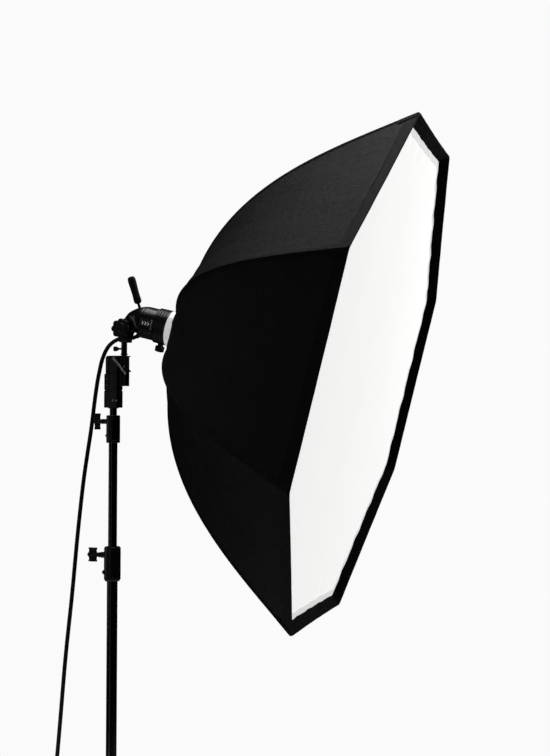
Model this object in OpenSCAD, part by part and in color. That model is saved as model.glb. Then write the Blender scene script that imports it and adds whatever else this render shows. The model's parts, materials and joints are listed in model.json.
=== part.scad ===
// Studio softbox: a recessed eight-sided soft light on a flash head, held by a
// bracket on a telescopic three-legged stand, with the head's cable and coil.
// Millimetres. The light faces +X and tips down, the stand's column is vertical,
// the feet rest on z = 0 and the origin is the middle of the bounding box's base.

/* [Softbox] */
// Width of the front rim, flat to flat
rim_width = 1500; // [1200:10:1600]
// Thickness of the sewn shell
fabric_t = 2.5; // [1.5:0.1:4]
// Depth of the front hem
hem_t = 0.046; // [0.03:0.002:0.08]
// Diameter of a bent rod
rod_d = 7; // [5:0.5:9]
// Distance of the front diffuser from the tilt pivot, along the light's axis
diffuser_x = 800; // [780:1:806]
// Radius of the inner diffuser, to its corners
inner_r = 470; // [380:5:520]

/* [Flash head] */
// Downward tip of the light, in degrees
tip = 14; // [0:1:30]
// Radius of the lamp barrel
barrel_r = 51; // [45:0.5:60]
// Diameter across the tilt knob's lobes
knob_d = 64; // [50:1:80]

/* [Stand] */
// Height of the tilt pivot above the floor
pivot_z = 2000; // [1950:1:2040]
// Radius of the top tube
top_r = 11.5; // [10.5:0.5:11.5]
// Radius of the middle tube
mid_r = 14; // [13:0.5:14]
// Radius of the base tube
base_r = 17; // [15.5:0.5:18]
// Angle of a leg from the vertical, in degrees
leg_a = 40; // [30:1:45]
// Height of the leg pivots
leg_z = 575; // [560:1:590]
// Distance along a leg from its pivot to the brace's pivot
brace_l = 255; // [220:1:280]

/* [Cable] */
// Diameter of the head cable
cable_d = 12; // [8:0.5:14]
// Mean radius of the coil's outer turn
coil_r = 70.5; // [60:0.5:90]

/* [Hidden] */
$fn = 48;
ox = -380;                                  // puts the bounding box's middle at x = 0
c8 = cos(22.5);
s8 = sin(22.5);
rim_r = rim_width / 2 / c8;                 // rim radius to a corner
axis_z = 38;                                // the light's axis above the tilt pivot
rod_off = 8.5;                              // rod centre inside the seam
run = 0.05;                                 // running clearance
leg_l = (leg_z - 12) / cos(leg_a);
foot_x = 38 + leg_l * sin(leg_a);
brace_top = [38 + brace_l * sin(leg_a), leg_z - brace_l * cos(leg_a)];
brace_z = leg_z - 2 * brace_l * cos(leg_a);

// Which sub-part to build

// ---------- curves and sweeps ----------

function bez(a, b, c, d, t) =
  a * pow(1 - t, 3) + 3 * b * pow(1 - t, 2) * t + 3 * c * (1 - t) * t * t + d * t * t * t;
function dbez(a, b, c, d, t) =
  3 * ((b - a) * pow(1 - t, 2) + 2 * (c - b) * (1 - t) * t + (d - c) * t * t);
// A bent rod's line, from the rim (t = 0) to the ring (t = 1): [along the axis, radius]
function prof(t) = [bez(830, 581, 259, 201.5, t), bez(rim_r, 654, 487, 110, t)];
function dprof(t) = [dbez(830, 581, 259, 201.5, t), dbez(rim_r, 654, 487, 110, t)];
function nrm(t) = let (d = dprof(t)) [d[1], -d[0]] / norm(d);
function off(t, d) = prof(t) + d * nrm(t);

function unit(v) = v / norm(v);
function cat(a, b, c, d, t) = 0.5 * (2 * b + (c - a) * t + (2 * a - 5 * b + 4 * c - d) * t * t
  + (3 * b - a - 3 * c + d) * t * t * t);
function sweep_faces(n, m) = concat(
  [[for (j = [m - 1:-1:0]) j]],
  [for (i = [0:n - 2]) for (j = [0:m - 1]) [i * m + j, i * m + (j + 1) % m, (i + 1) * m + (j + 1) % m]],
  [for (i = [0:n - 2]) for (j = [0:m - 1]) [i * m + j, (i + 1) * m + (j + 1) % m, (i + 1) * m + j]],
  [[for (j = [0:m - 1]) (n - 1) * m + j]]);

// ---------- frames ----------

module stand() { translate([ox, 0, 0]) children(); }
module head() { translate([ox + 37, 0, pivot_z]) rotate([0, tip, 0]) children(); }
// z along the light's axis, x towards the underside
module axial() { head() translate([0, 0, axis_z]) rotate([0, 90, 0]) children(); }
module leg_at(a) { stand() rotate([0, 0, a]) children(); }
// sheet in the XZ plane, spread along Y from y0 to y1
module xz(y0, y1) { translate([0, y1, 0]) rotate([90, 0, 0]) linear_extrude(height = y1 - y0) children(); }
module along_x(x0, x1, r) { translate([x0, 0, 0]) rotate([0, 90, 0]) cylinder(h = x1 - x0, r = r); }
module along_y(y0, y1, r) { translate([0, y1, 0]) rotate([90, 0, 0]) cylinder(h = y1 - y0, r = r); }
module rr(w, d, r) {
  square([w - 2 * r, d], center = true);
  square([w, d - 2 * r], center = true);
  for (x = [-1, 1]) for (y = [-1, 1]) translate([x * (w / 2 - r), y * (d / 2 - r)]) circle(r = r);
}

// ---------- stand ----------

module base_column() {
  color([0.05, 0.05, 0.055]) stand() difference() {
    translate([0, 0, 40]) cylinder(h = 1200, r = base_r);
    translate([0, 0, 39]) cylinder(h = 1202, r = 14.2);
  }
}

module base_end_cap() {
  color([0.03, 0.03, 0.03]) stand() {
    translate([0, 0, 34]) cylinder(h = 5.9, r = base_r);
    translate([0, 0, 39.9]) cylinder(h = 16, r = 14.1);
  }
}

module clevis(z) {
  for (s = [-1, 1]) xz(s * 6.8 - 2.5, s * 6.8 + 2.5) difference() {
    union() {
      translate([38, z]) circle(r = 13);
      translate([21, z - 13]) square([17, 26]);
    }
    translate([38, z]) circle(r = 4.02);
  }
}

module leg_collar() {
  color([0.05, 0.05, 0.055]) stand() difference() {
    union() {
      translate([0, 0, 545]) cylinder(h = 60, r = 23.5);
      translate([0, 0, 596]) cylinder(h = 14, r = 20.5);
      for (a = [0, 120, 240]) rotate([0, 0, a]) clevis(leg_z);
    }
    translate([0, 0, 540]) cylinder(h = 80, r = base_r + run);
  }
}

module leg_pins() {
  color([0.6, 0.6, 0.62]) stand() for (a = [0, 120, 240]) rotate([0, 0, a]) {
    translate([38, 0, leg_z]) along_y(-9.6, 9.6, 4);
    for (s = [-1, 1]) translate([38, s * 10.9, leg_z]) along_y(-1.5, 1.5, 6);
  }
}

// a leg's own frame: z runs down the leg from its pivot
module leg_frame() { translate([38, 0, leg_z]) rotate([0, 180 - leg_a, 0]) children(); }

module leg_body(a) {
  color([0.05, 0.05, 0.055]) leg_at(a) leg_frame() difference() {
    union() {
      xz(-4, 4) { circle(r = 12); translate([-8, 0]) square([16, 30]); }
      translate([0, 0, 26]) cylinder(h = leg_l - 56, r = 10);
    }
    translate([0, 0, 40]) cylinder(h = leg_l, r = 8.6);
    along_y(-6, 6, 4 + run);
    translate([0, 0, brace_l]) along_y(-12, 12, 3 + run);
  }
}

module foot(a) {
  color([0.03, 0.03, 0.03]) leg_at(a) difference() {
    union() {
      leg_frame() difference() {
        translate([0, 0, leg_l - 50]) cylinder(h = 50, r = 12.5);
        translate([0, 0, leg_l - 51]) cylinder(h = 21.1, r = 10 + run);
      }
      translate([foot_x, 0, 12]) sphere(r = 17);
    }
    translate([foot_x, 0, -20]) cube([60, 60, 40], center = true);
  }
}

module brace(a) {
  color([0.06, 0.06, 0.065]) leg_at(a) {
    for (s = [-1, 1]) translate([brace_top[0], s * 12, brace_top[1]]) rotate([0, 180 + leg_a, 0])
      xz(-1.5, 1.5) {
        circle(r = 7);
        translate([0, brace_l]) circle(r = 7);
        translate([-7, 0]) square([14, brace_l]);
      }
    for (p = [brace_top, [38, brace_z]]) translate([p[0], 0, p[1]]) {
      along_y(-10.6, 10.6, 3);
      for (s = [-1, 1]) translate([0, s * 14.5, 0]) along_y(-1.1, 1.1, 4.5);
    }
  }
}

module brace_collar() {
  color([0.05, 0.05, 0.055]) stand() difference() {
    union() {
      translate([0, 0, brace_z - 18]) cylinder(h = 36, r = 24);
      for (a = [0, 120, 240]) rotate([0, 0, a]) xz(-6, 6) {
        translate([20, brace_z - 34]) square([26, 46]);
      }
    }
    translate([0, 0, brace_z - 40]) cylinder(h = 80, r = base_r + run);
    for (a = [0, 120, 240]) rotate([0, 0, a]) {
      translate([38, 0, brace_z]) along_y(-8, 8, 3.3);
      translate([38, 0, brace_z - 25]) along_y(-8, 8, 3.3);
      translate([34.7, -8, brace_z - 25]) cube([6.6, 16, 25]);
    }
  }
}

module leg_front() { leg_body(0); }
module leg_left() { leg_body(120); }
module leg_right() { leg_body(240); }
module foot_front() { foot(0); }
module foot_left() { foot(120); }
module foot_right() { foot(240); }
module brace_front() { brace(0); }
module brace_left() { brace(120); }
module brace_right() { brace(240); }

// wing knob on a screw that points to the column: x = 0 is the screw's tip
module wing(reach, w, len) {
  translate([0, 0, 0]) along_x(-reach, 0, 3.5);
  along_x(-reach - 8, -reach, 8);
  translate([-reach - 8 - (len - 8), 0, 0]) {
    along_x(0, len - 8, 6.5);
    translate([(len - 8) / 2, 0, 0]) cube([len - 8, 7, w - 8], center = true);
    for (s = [-1, 1]) translate([0, 0, s * (w / 2 - 4)]) along_x(0, len - 8, 4);
  }
}

module lower_lock_collar() {
  color([0.04, 0.04, 0.045]) stand() difference() {
    union() {
      rotate_extrude() polygon([[0, 1199], [22.5, 1199], [26.5, 1206], [26.5, 1303], [24, 1308],
        [0, 1308]]);
      translate([0, 0, 1281]) along_x(-39, -20, 9.5);
      translate([0, 0, 1226]) along_x(-34, -20, 4.5);
      translate([0, 0, 1226]) along_x(-31, -20, 7);
    }
    translate([0, 0, 1190]) cylinder(h = 50.2, r = base_r + run);
    translate([0, 0, 1238]) cylinder(h = 80, r = mid_r + run);
    translate([0, 0, 1281]) along_x(-50, -8, 3.5 + run);
  }
}

module lower_wing_knob() {
  color([0.03, 0.03, 0.03]) stand() translate([-14.2, 0, 1281]) wing(26, 45, 44);
}

module mid_column() {
  color([0.05, 0.05, 0.055]) stand() difference() {
    union() {
      translate([0, 0, 560]) cylinder(h = 1106, r = mid_r);
      translate([0, 0, 560]) cylinder(h = 30, r = 14.15);
    }
    translate([0, 0, 550]) cylinder(h = 1120, r = 12);
  }
}

module upper_lock_collar() {
  color([0.04, 0.04, 0.045]) stand() difference() {
    union() {
      rotate_extrude() polygon([[0, 1638], [20.5, 1638], [22, 1640], [22, 1723], [20, 1726],
        [0, 1726]]);
      translate([0, 0, 1706]) along_x(-31, -14, 8);
      translate([0, 0, 1661]) along_x(-26, -14, 4.5);
    }
    translate([0, 0, 1630]) cylinder(h = 36.2, r = mid_r + run);
    translate([0, 0, 1664]) cylinder(h = 80, r = top_r + run);
    translate([0, 0, 1706]) along_x(-40, -6, 3.5 + run);
  }
}

module upper_wing_knob() {
  color([0.03, 0.03, 0.03]) stand() translate([-11.6, 0, 1706]) wing(20.5, 52, 34);
}

module top_column() {
  color([0.05, 0.05, 0.055]) stand() difference() {
    union() {
      translate([0, 0, 640]) cylinder(h = 1172, r = top_r);
      translate([0, 0, 640]) cylinder(h = 30, r = 11.95);
    }
    translate([0, 0, 630]) cylinder(h = 1190, r = 10);
  }
}

// ---------- bracket between the column and the head ----------

module bracket_body() {
  color([0.04, 0.04, 0.045]) stand() difference() {
    union() {
      translate([0, 0, 1750]) linear_extrude(height = 54) rr(50, 44, 7);
      translate([0, 0, 1804]) linear_extrude(height = 3) rr(46, 40, 6);
      translate([0, 0, 1807]) linear_extrude(height = 50) rr(49, 43, 6);
      translate([1.5, 0, 1857]) linear_extrude(height = 55) rr(45, 40, 6);
    }
    translate([0, 0, 1740]) cylinder(h = 72.1, r = top_r + run);
    for (x = [8, 20]) translate([x, -22.6, 1773]) along_y(0, 12, 2.55);
    translate([10, -25, 1905]) along_y(0, 18, 3 + run);
    translate([24.5, -30, 1815]) cube([20, 60, 110]);
  }
}

module bracket_socket() {
  color([0.04, 0.04, 0.045]) stand() difference() {
    translate([36.8, 0, 1819]) linear_extrude(height = 93) rr(24.4, 32, 4);
    translate([36, 0, 1821]) cylinder(h = 100, r = 8 + run);
    translate([36, -0.8, 1819.5]) cube([20, 1.6, 100]);
    translate([43, -20, 1880]) along_y(0, 9, 2.5 + run);
  }
}

module bracket_plate() {
  color([0.05, 0.05, 0.055]) stand() difference() {
    translate([17.4, 0, 1912.3]) linear_extrude(height = 3) rr(68, 44, 6);
    translate([36, 0, 1900]) cylinder(h = 30, r = 8.3);
  }
}

module bracket_screws() {
  color([0.55, 0.55, 0.57]) stand() for (x = [8, 20]) translate([x, 0, 1773]) {
    along_y(-23.9, -22.1, 3.6);
    along_y(-22.2, -12, 2.5);
  }
}

module bracket_lever() {
  color([0.62, 0.62, 0.64]) stand() translate([10, 0, 1905]) {
    along_y(-20.6, -10, 3);
    rotate([0, 49, 0]) xz(-24.2, -21.2) {
      circle(r = 6);
      translate([0, -4.5]) square([60, 9]);
      translate([60, 0]) circle(r = 4.5);
    }
    along_y(-21.3, -20.5, 4.5);
    along_y(-25.6, -24.1, 4);
  }
}

module clamp_lever() {
  color([0.05, 0.05, 0.05]) stand() translate([43, 0, 1880]) {
    along_y(-19.4, -12, 2.5);
    rotate([0, 35, 0]) xz(-19.8, -16.4) {
      circle(r = 4);
      translate([0, -2.5]) square([26, 5]);
      translate([26, 0]) circle(r = 2.5);
    }
  }
}

module stem() {
  color([0.05, 0.05, 0.055]) stand() translate([36, 0, 0]) difference() {
    rotate_extrude() polygon([[0, 1826], [7, 1826], [8, 1828], [8, 1850], [7, 1852], [7, 1862],
      [8, 1864], [8, 1917], [11, 1918], [11, 1922], [9.5, 1924], [9.5, 1957.8], [0, 1957.8]]);
    translate([0, 0, 1938]) along_x(-20, -3, 3 + run);
  }
}

module stem_lock_knob() {
  color([0.05, 0.05, 0.05]) stand() translate([0, 0, 1938]) {
    along_x(11, 32, 3);
    translate([12, 0, 0]) along_x(0, 4, 5.5);
    translate([6, 0, 0]) cube([13, 7, 8], center = true);
    for (s = [-1, 1]) translate([-0.5, 0, s * 4]) along_x(0, 13, 3.5);
  }
}

module tilt_fork() {
  color([0.05, 0.05, 0.055]) stand() difference() {
    union() {
      translate([26, -22, 1958]) cube([29, 44, 12]);
      for (s = [-1, 1]) xz(s * 18.2 - 3.8, s * 18.2 + 3.8) {
        translate([41, pivot_z]) circle(r = 24);
        translate([27, 1969]) square([28, pivot_z - 1969]);
      }
    }
    translate([41, 0, pivot_z]) along_y(-30, 30, 5 + run);
  }
}

module tilt_nut() {
  color([0.55, 0.55, 0.57]) stand() difference() {
    translate([41, 0, pivot_z]) union() {
      along_y(22.3, 24, 11);
      translate([0, 30, 0]) rotate([90, 0, 0]) cylinder(h = 6.2, r = 9.5, $fn = 6);
    }
    translate([41, 0, pivot_z]) along_y(20, 32, 5 + run);
  }
}

module tilt_knob() {
  color([0.03, 0.03, 0.03]) stand() translate([41, 0, pivot_z]) {
    along_y(-30, 28.5, 5);
    along_y(-25.5, -22.4, 15);
    xz(-46, -25.4) {
      circle(r = knob_d / 2 - 5);
      for (a = [0:45:315]) rotate(a) translate([knob_d / 2 - 7, 0]) circle(r = 7);
    }
    along_y(-48, -45.9, 17);
  }
}

// ---------- flash head ----------

// rings of the rear housing: [x, z, slope, half height, half width]
trunk = [[64, 38, 0, 50.5, 50.5], [54, 37.5, 6, 48, 49.5], [44, 36, 13, 44, 46],
  [33, 31.5, 24, 39.5, 39], [24, 26, 35, 35, 30], [17, 19, 46, 30, 13.8], [10, 12, 57, 26.5, 13.8],
  [4, 4, 70, 23, 13.8], [1, -6, 82, 20, 13.8]];

module rear_housing() {
  color([0.045, 0.045, 0.05]) head() difference() {
    union() {
      polyhedron(
        points = [for (g = trunk) for (j = [0:27]) let (p = -j * 360 / 28)
          [g[0] - sin(g[2]) * cos(p) * g[3], sin(p) * g[4], g[1] + cos(g[2]) * cos(p) * g[3]]],
        faces = sweep_faces(len(trunk), 28));
      translate([3.9, 0, 1]) along_y(-13.9, 13.9, 24);
    }
    translate([3.881, 0, 0.968]) along_y(-20, 20, 5 + run);
    // scoops that the fork's cheeks and the tilt knob turn in
    translate([3.9, 0, 1]) {
      along_y(14.1, 60, 25.5);
      along_y(-60, -14.1, 25.5);
      along_y(-60, -24.6, 33.5);
    }
    gland_frame() translate([0, 0, -6]) cylinder(h = 30, r = 9.05);
    handle_frame() translate([0, 0, -7]) cylinder(h = 30, r = 4.55);
  }
}

module handle_frame() { translate([35.5, 0, 74]) rotate([0, -31.2, 0]) children(); }
module gland_frame() { translate([50, 26, 2]) rotate([0, 225, -12]) children(); }

module handle_stem() {
  color([0.1, 0.1, 0.105]) head() handle_frame() translate([0, 0, -6.9]) cylinder(h = 40, r = 4.5);
}

module handle_grip() {
  color([0.03, 0.03, 0.03]) head() handle_frame() difference() {
    rotate_extrude() polygon([[0, 20], [8, 20], [10.5, 23], [11, 30], [10.2, 55], [11.5, 88],
      [10.5, 103], [7, 108], [0, 109]]);
    translate([0, 0, 10]) cylinder(h = 23.3, r = 4.55);
  }
}

module head_barrel() {
  color([0.045, 0.045, 0.05]) axial() rotate_extrude() polygon([[30, 64.3], [barrel_r - 1, 64.3],
    [barrel_r, 65.3], [barrel_r, 181], [barrel_r - 0.8, 182], [48.5, 182], [48.5, 68], [30, 68]]);
}

module reflector_dish() {
  color([0.85, 0.85, 0.86]) axial() rotate_extrude() polygon([[18, 158], [22, 158], [48.2, 179],
    [48.2, 181.5], [46.5, 181.5], [21, 160], [18, 160]]);
}

module flash_tube() {
  color([0.9, 0.9, 0.88]) axial() {
    translate([0, 0, 190]) rotate_extrude(angle = 320) translate([25, 0]) circle(r = 3.5, $fn = 24);
    for (a = [0, 320]) rotate([0, 0, a]) translate([25, 0, 169]) cylinder(h = 21, r = 3.2);
  }
}

module modelling_lamp() {
  color([0.95, 0.93, 0.85]) axial() {
    translate([0, 0, 150]) cylinder(h = 24, r = 12);
    translate([0, 0, 174]) cylinder(h = 22, r = 9);
    translate([0, 0, 196]) sphere(r = 9);
  }
}

module glass_dome() {
  color([0.95, 0.95, 0.95, 0.5]) axial() translate([0, 0, 182.2]) rotate_extrude() difference() {
    union() { square([47, 14]); intersection() { translate([0, 14]) circle(r = 47); square([50, 70]); } }
    translate([-1, -1]) square([46, 15]);
    intersection() { translate([0, 14]) circle(r = 45); translate([-50, 13.9]) square([100, 60]); }
    translate([-60, -2]) square([60, 80]);
  }
}

module cable_gland() {
  color([0.03, 0.03, 0.03]) head() gland_frame() rotate_extrude()
    polygon([[0, -5.9], [9, -5.9], [9, 8], [11, 8], [11, 12], [8.5, 13], [7.5, 24], [0, 24]]);
}

// ---------- cable ----------

// centre line of the hanging cable, from the gland to the coil
cable = [[83, 26.5, 1988], [64.8, 29.8, 1976.8], [51, 32, 1969], [35, 33.5, 1960], [9.5, 33, 1943],
  [-14, 32.5, 1930.5], [-34, 31.5, 1920], [-48, 30, 1907], [-56, 28.5, 1889], [-61, 26.5, 1865],
  [-66, 23, 1828], [-72.5, 20, 1775], [-83.5, 18, 1682], [-96.5, 14, 1588], [-107.5, 9, 1495],
  [-121, 1, 1340], [-136, -5, 1150], [-154, -12, 950], [-174, -14, 700], [-197, -14, 450],
  [-226, -12, 220], [-252, -10, 90], [-286, -6, 24], [-332, -2, 6.2], [-365, 0, 6.2], [-380, 0, 6.2]];
cable_path = [for (i = [1:len(cable) - 3]) for (k = [0:2])
    cat(cable[i - 1], cable[i], cable[i + 1], cable[i + 2], k / 3)];

module power_cable() {
  n = len(cable_path);
  color([0.03, 0.03, 0.03]) stand() polyhedron(
    points = [for (i = [0:n - 1]) let (
        d = unit(cable_path[min(i + 1, n - 1)] - cable_path[max(i - 1, 0)]),
        u = unit(cross([0, 1, 0], d)), v = cross(d, u))
      for (j = [0:9]) cable_path[i] + cable_d / 2 * (cos(j * 36) * v + sin(j * 36) * u)],
    faces = sweep_faces(n, 10));
}

module cable_coil() {
  color([0.03, 0.03, 0.03]) stand() translate([-440, 0, 0]) {
    for (z = [6.2, 18.4]) for (r = [coil_r, coil_r - cable_d - 0.4]) translate([0, 0, z])
      rotate_extrude() translate([r, 0]) circle(r = cable_d / 2, $fn = 24);
    translate([-62, coil_r, 16]) along_x(0, 62, cable_d / 2);
  }
}

module pack_connector() {
  color([0.04, 0.04, 0.045]) stand() translate([-488, coil_r, 16]) rotate([0, -90, 0]) difference() {
    rotate_extrude() polygon([[0, 0], [8.5, 0], [10, 16], [15, 20], [16, 24], [16, 60], [14.5, 62],
      [14.5, 74], [12.5, 74], [12.5, 64], [0, 64]]);
    translate([0, 0, -5]) cylinder(h = 19.1, r = 6.1);
  }
}

// ---------- softbox ring ----------

module ribbed_collar() {
  color([0.04, 0.04, 0.045]) axial() difference() {
    rotate_extrude() polygon([[0, 107], [54, 107], [55.5, 109], [55.5, 114], [53.5, 115],
      [53.5, 117], [56, 118], [56, 123], [53.5, 124], [53.5, 126], [56, 127], [56, 132],
      [53.5, 133], [53.5, 135], [56, 136], [56, 141], [54, 142], [54, 144], [56.5, 145],
      [56.5, 151.9], [0, 151.9]]);
    translate([0, 0, 100]) cylinder(h = 60, r = barrel_r + run);
    translate([0, 0, 131]) along_x(40, 70, 4 + run);
  }
}

module adapter_ring() {
  color([0.8, 0.8, 0.82]) axial() difference() {
    rotate_extrude() polygon([[0, 152], [57.5, 152], [59, 154], [61, 172], [66, 187], [66, 190],
      [59.95, 190], [59.95, 210.5], [63.5, 211], [63.5, 213], [0, 213]]);
    translate([0, 0, 150]) cylinder(h = 70, r = barrel_r + run);
  }
}

module adapter_clamp_knob() {
  color([0.04, 0.04, 0.045]) axial() translate([0, 0, 131]) {
    along_x(52, 64, 4);
    along_x(58, 62, 9);
    translate([62, 0, 0]) rotate([0, 90, 0]) linear_extrude(height = 18) {
      circle(r = 13);
      for (a = [0:45:315]) rotate(a) translate([12.5, 0]) circle(r = 2.6);
    }
    along_x(79.9, 82, 9);
  }
}

// a corner rod's straight end, in the plane of that corner: z along it, outwards
module rod_end() { translate([108.7, 0, 209.9]) rotate([0, 81.33, 0]) children(); }
module corners() { for (k = [0:7]) rotate([0, 0, 22.5 + 45 * k]) children(); }

module speedring_plate() {
  color([0.6, 0.6, 0.62]) axial() difference() {
    translate([0, 0, 190.8]) cylinder(h = 19.2, r = 98);
    translate([0, 0, 180]) cylinder(h = 40, r = 60);
    corners() rod_end() translate([0, 0, -16.6]) cylinder(h = 60, r = 5.45);
  }
}

module rod_sockets() {
  color([0.55, 0.55, 0.57]) axial() corners() rod_end() difference() {
    union() {
      translate([0, 0, -16.5]) cylinder(h = 8.5, r = 5.4);
      translate([0, 0, -8.5]) cylinder(h = 12.5, r = 4.9);
    }
    translate([0, 0, -12]) cylinder(h = 40, r = rod_d / 2 + 0.4);
  }
}

module rods() {
  st = concat([for (i = [0:14]) 0.066 + 0.934 * i / 14], [1.0]);
  color([0.3, 0.3, 0.31]) axial() corners() polyhedron(
    points = [for (i = [0:15]) let (t = st[i], c = off(t, -rod_off)
        - (i == 15 ? 11 : 0) * [0.1508, 0.9886], m = nrm(t))
      for (j = [0:7]) [c[1] + rod_d / 2 * cos(j * 45) * m[1], rod_d / 2 * sin(j * 45),
        c[0] + rod_d / 2 * cos(j * 45) * m[0]]],
    faces = sweep_faces(16, 8));
}

module rod_tips() {
  c = off(0.066, -rod_off);
  d = unit(-dprof(0.066));
  color([0.03, 0.03, 0.03]) axial() corners() translate([c[1], 0, c[0]])
    rotate([0, atan2(d[1], d[0]), 0]) translate([0, 0, 0.05]) {
      cylinder(h = 6, r = 4.9);
      translate([0, 0, 6]) cylinder(h = 3.5, r = 3.5);
    }
}

// ---------- fabric ----------

// places along a seam, shared by the panels and the tapes so that their facets agree
seam_st = [for (i = [0:13]) hem_t + 0.0024 + (0.985 - hem_t - 0.0024) * i / 13];

module panel() {
  ts = concat(seam_st, [1]);
  n = len(ts);
  pts = [for (t = ts) let (a = prof(t), b = off(t, -fabric_t))
    each [[a[1] * c8, -(a[1] * s8 - 0.4), a[0]], [a[1] * c8, a[1] * s8 - 0.4, a[0]],
      [b[1] * c8, b[1] * s8 - 0.4, b[0]], [b[1] * c8, -(b[1] * s8 - 0.4), b[0]]]];
  polyhedron(points = pts, faces = concat([[3, 2, 1, 0]],
    [for (i = [0:n - 2]) for (j = [0:3])
      [i * 4 + j, i * 4 + (j + 1) % 4, (i + 1) * 4 + (j + 1) % 4, (i + 1) * 4 + j]],
    [[for (j = [0:3]) (n - 1) * 4 + j]]));
}

module outer_shell() {
  color([0.05, 0.05, 0.055]) axial() for (k = [0:7]) rotate([0, 0, 45 * k]) panel();
}

// folded tape over each corner seam: [outwards from the panels, sideways]
tape = [[1.5, 0], [1.5, 6.2], [0.3, 6.2], [0.2, 0], [0.3, -6.2], [1.5, -6.2]];

module seam_binding() {
  ts = seam_st;
  n = len(ts);
  color([0.06, 0.06, 0.065]) axial() corners() polyhedron(
    points = [for (t = ts) let (c = prof(t), m = nrm(t)) for (q = tape)
      let (d = q[0] - tan(22.5) * abs(q[1]) * m[1]) [c[1] + d * m[1], q[1], c[0] + d * m[0]]],
    faces = concat([[3, 2, 1, 0], [5, 4, 3, 0]],
      [for (i = [0:n - 2]) for (j = [0:5]) [i * 6 + j, i * 6 + (j + 1) % 6, (i + 1) * 6 + (j + 1) % 6]],
      [for (i = [0:n - 2]) for (j = [0:5]) [i * 6 + j, (i + 1) * 6 + (j + 1) % 6, (i + 1) * 6 + j]],
      [[for (j = [0:3]) (n - 1) * 6 + j], [for (j = [0, 3, 4, 5]) (n - 1) * 6 + j]]));
}

module front_hem() {
  h = prof(hem_t);
  color([0.045, 0.045, 0.05]) axial() rotate([0, 0, 22.5]) rotate_extrude($fn = 8)
    polygon([[rim_r, 830], [rim_r - 4.7, 830], [h[1] - 4.7, h[0]], [h[1], h[0]]]);
}

module back_collar() {
  color([0.045, 0.045, 0.05]) axial() rotate([0, 0, 22.5]) rotate_extrude($fn = 8)
    polygon([[74, 187.7], [110, 187.7], [110, 201], [107.5, 201], [107.5, 190.2], [74, 190.2]]);
}

module front_diffuser() {
  color([0.93, 0.93, 0.92]) axial() rotate([0, 0, 22.5]) translate([0, 0, diffuser_x])
    cylinder(h = 2, r = 786, $fn = 8);
}

module inner_diffuser() {
  color([0.93, 0.93, 0.92]) axial() rotate([0, 0, 22.5]) translate([0, 0, 520])
    cylinder(h = 2, r = inner_r, $fn = 8);
}

module baffle_straps() {
  color([0.2, 0.2, 0.2]) axial() corners() translate([inner_r + 0.2, -8, 520]) cube([104, 16, 2]);
}

base_column();
base_end_cap();
leg_collar();
leg_pins();
leg_front();
leg_left();
leg_right();
foot_front();
foot_left();
foot_right();
brace_front();
brace_left();
brace_right();
brace_collar();
lower_lock_collar();
lower_wing_knob();
mid_column();
upper_lock_collar();
upper_wing_knob();
top_column();
bracket_body();
bracket_socket();
bracket_plate();
bracket_screws();
bracket_lever();
clamp_lever();
stem();
stem_lock_knob();
tilt_fork();
tilt_nut();
tilt_knob();
rear_housing();
handle_stem();
handle_grip();
head_barrel();
reflector_dish();
flash_tube();
modelling_lamp();
glass_dome();
cable_gland();
power_cable();
cable_coil();
pack_connector();
ribbed_collar();
adapter_ring();
adapter_clamp_knob();
speedring_plate();
rod_sockets();
rods();
rod_tips();
outer_shell();
seam_binding();
front_hem();
back_collar();
front_diffuser();
inner_diffuser();
baffle_straps();
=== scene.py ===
"""The studio softbox on its flash head and stand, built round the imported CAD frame."""
import bpy, bmesh, math, json
import numpy as np
from mathutils import Vector, Matrix, noise

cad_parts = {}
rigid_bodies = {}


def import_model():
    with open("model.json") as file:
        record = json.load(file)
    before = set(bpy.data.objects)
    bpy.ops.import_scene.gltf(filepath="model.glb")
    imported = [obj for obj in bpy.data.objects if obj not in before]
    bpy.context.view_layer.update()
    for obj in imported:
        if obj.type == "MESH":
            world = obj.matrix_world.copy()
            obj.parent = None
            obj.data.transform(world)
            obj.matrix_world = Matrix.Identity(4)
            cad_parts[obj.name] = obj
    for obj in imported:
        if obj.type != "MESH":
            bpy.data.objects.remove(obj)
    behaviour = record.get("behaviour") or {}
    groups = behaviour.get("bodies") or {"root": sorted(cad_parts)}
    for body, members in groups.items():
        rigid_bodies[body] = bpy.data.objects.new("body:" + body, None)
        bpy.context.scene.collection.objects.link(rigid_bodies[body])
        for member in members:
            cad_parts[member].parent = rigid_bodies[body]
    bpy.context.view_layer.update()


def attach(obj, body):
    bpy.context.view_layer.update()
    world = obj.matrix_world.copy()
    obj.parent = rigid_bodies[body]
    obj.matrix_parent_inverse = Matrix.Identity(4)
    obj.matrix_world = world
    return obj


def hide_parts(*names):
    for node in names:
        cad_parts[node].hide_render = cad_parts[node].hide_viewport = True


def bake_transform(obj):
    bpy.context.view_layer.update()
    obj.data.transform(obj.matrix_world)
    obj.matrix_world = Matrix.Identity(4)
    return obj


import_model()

scene = bpy.context.scene
rng = np.random.default_rng(11)

# ------------------------------------------------------------------ camera
cam_data = bpy.data.cameras.new("camera")
cam_data.lens = 60.12
cam_data.sensor_width = 36
cam_data.clip_end = 200
cam = bpy.data.objects.new("camera", cam_data)
scene.collection.objects.link(cam)
cam.location = (1.183, -3.752, 1.732)
cam.rotation_euler = (math.radians(91.623), math.radians(-0.149), math.radians(15.319))
scene.camera = cam

# ------------------------------------------------------------------ frames (millimetres)
OX = -380.0
C8, S8 = math.cos(math.radians(22.5)), math.sin(math.radians(22.5))
RIM = 750 / C8


def T(x, y, z):
    m = np.eye(4)
    m[:3, 3] = (x, y, z)
    return m


def R(axis, deg):
    return np.array(Matrix.Rotation(math.radians(deg), 4, axis))


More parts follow.
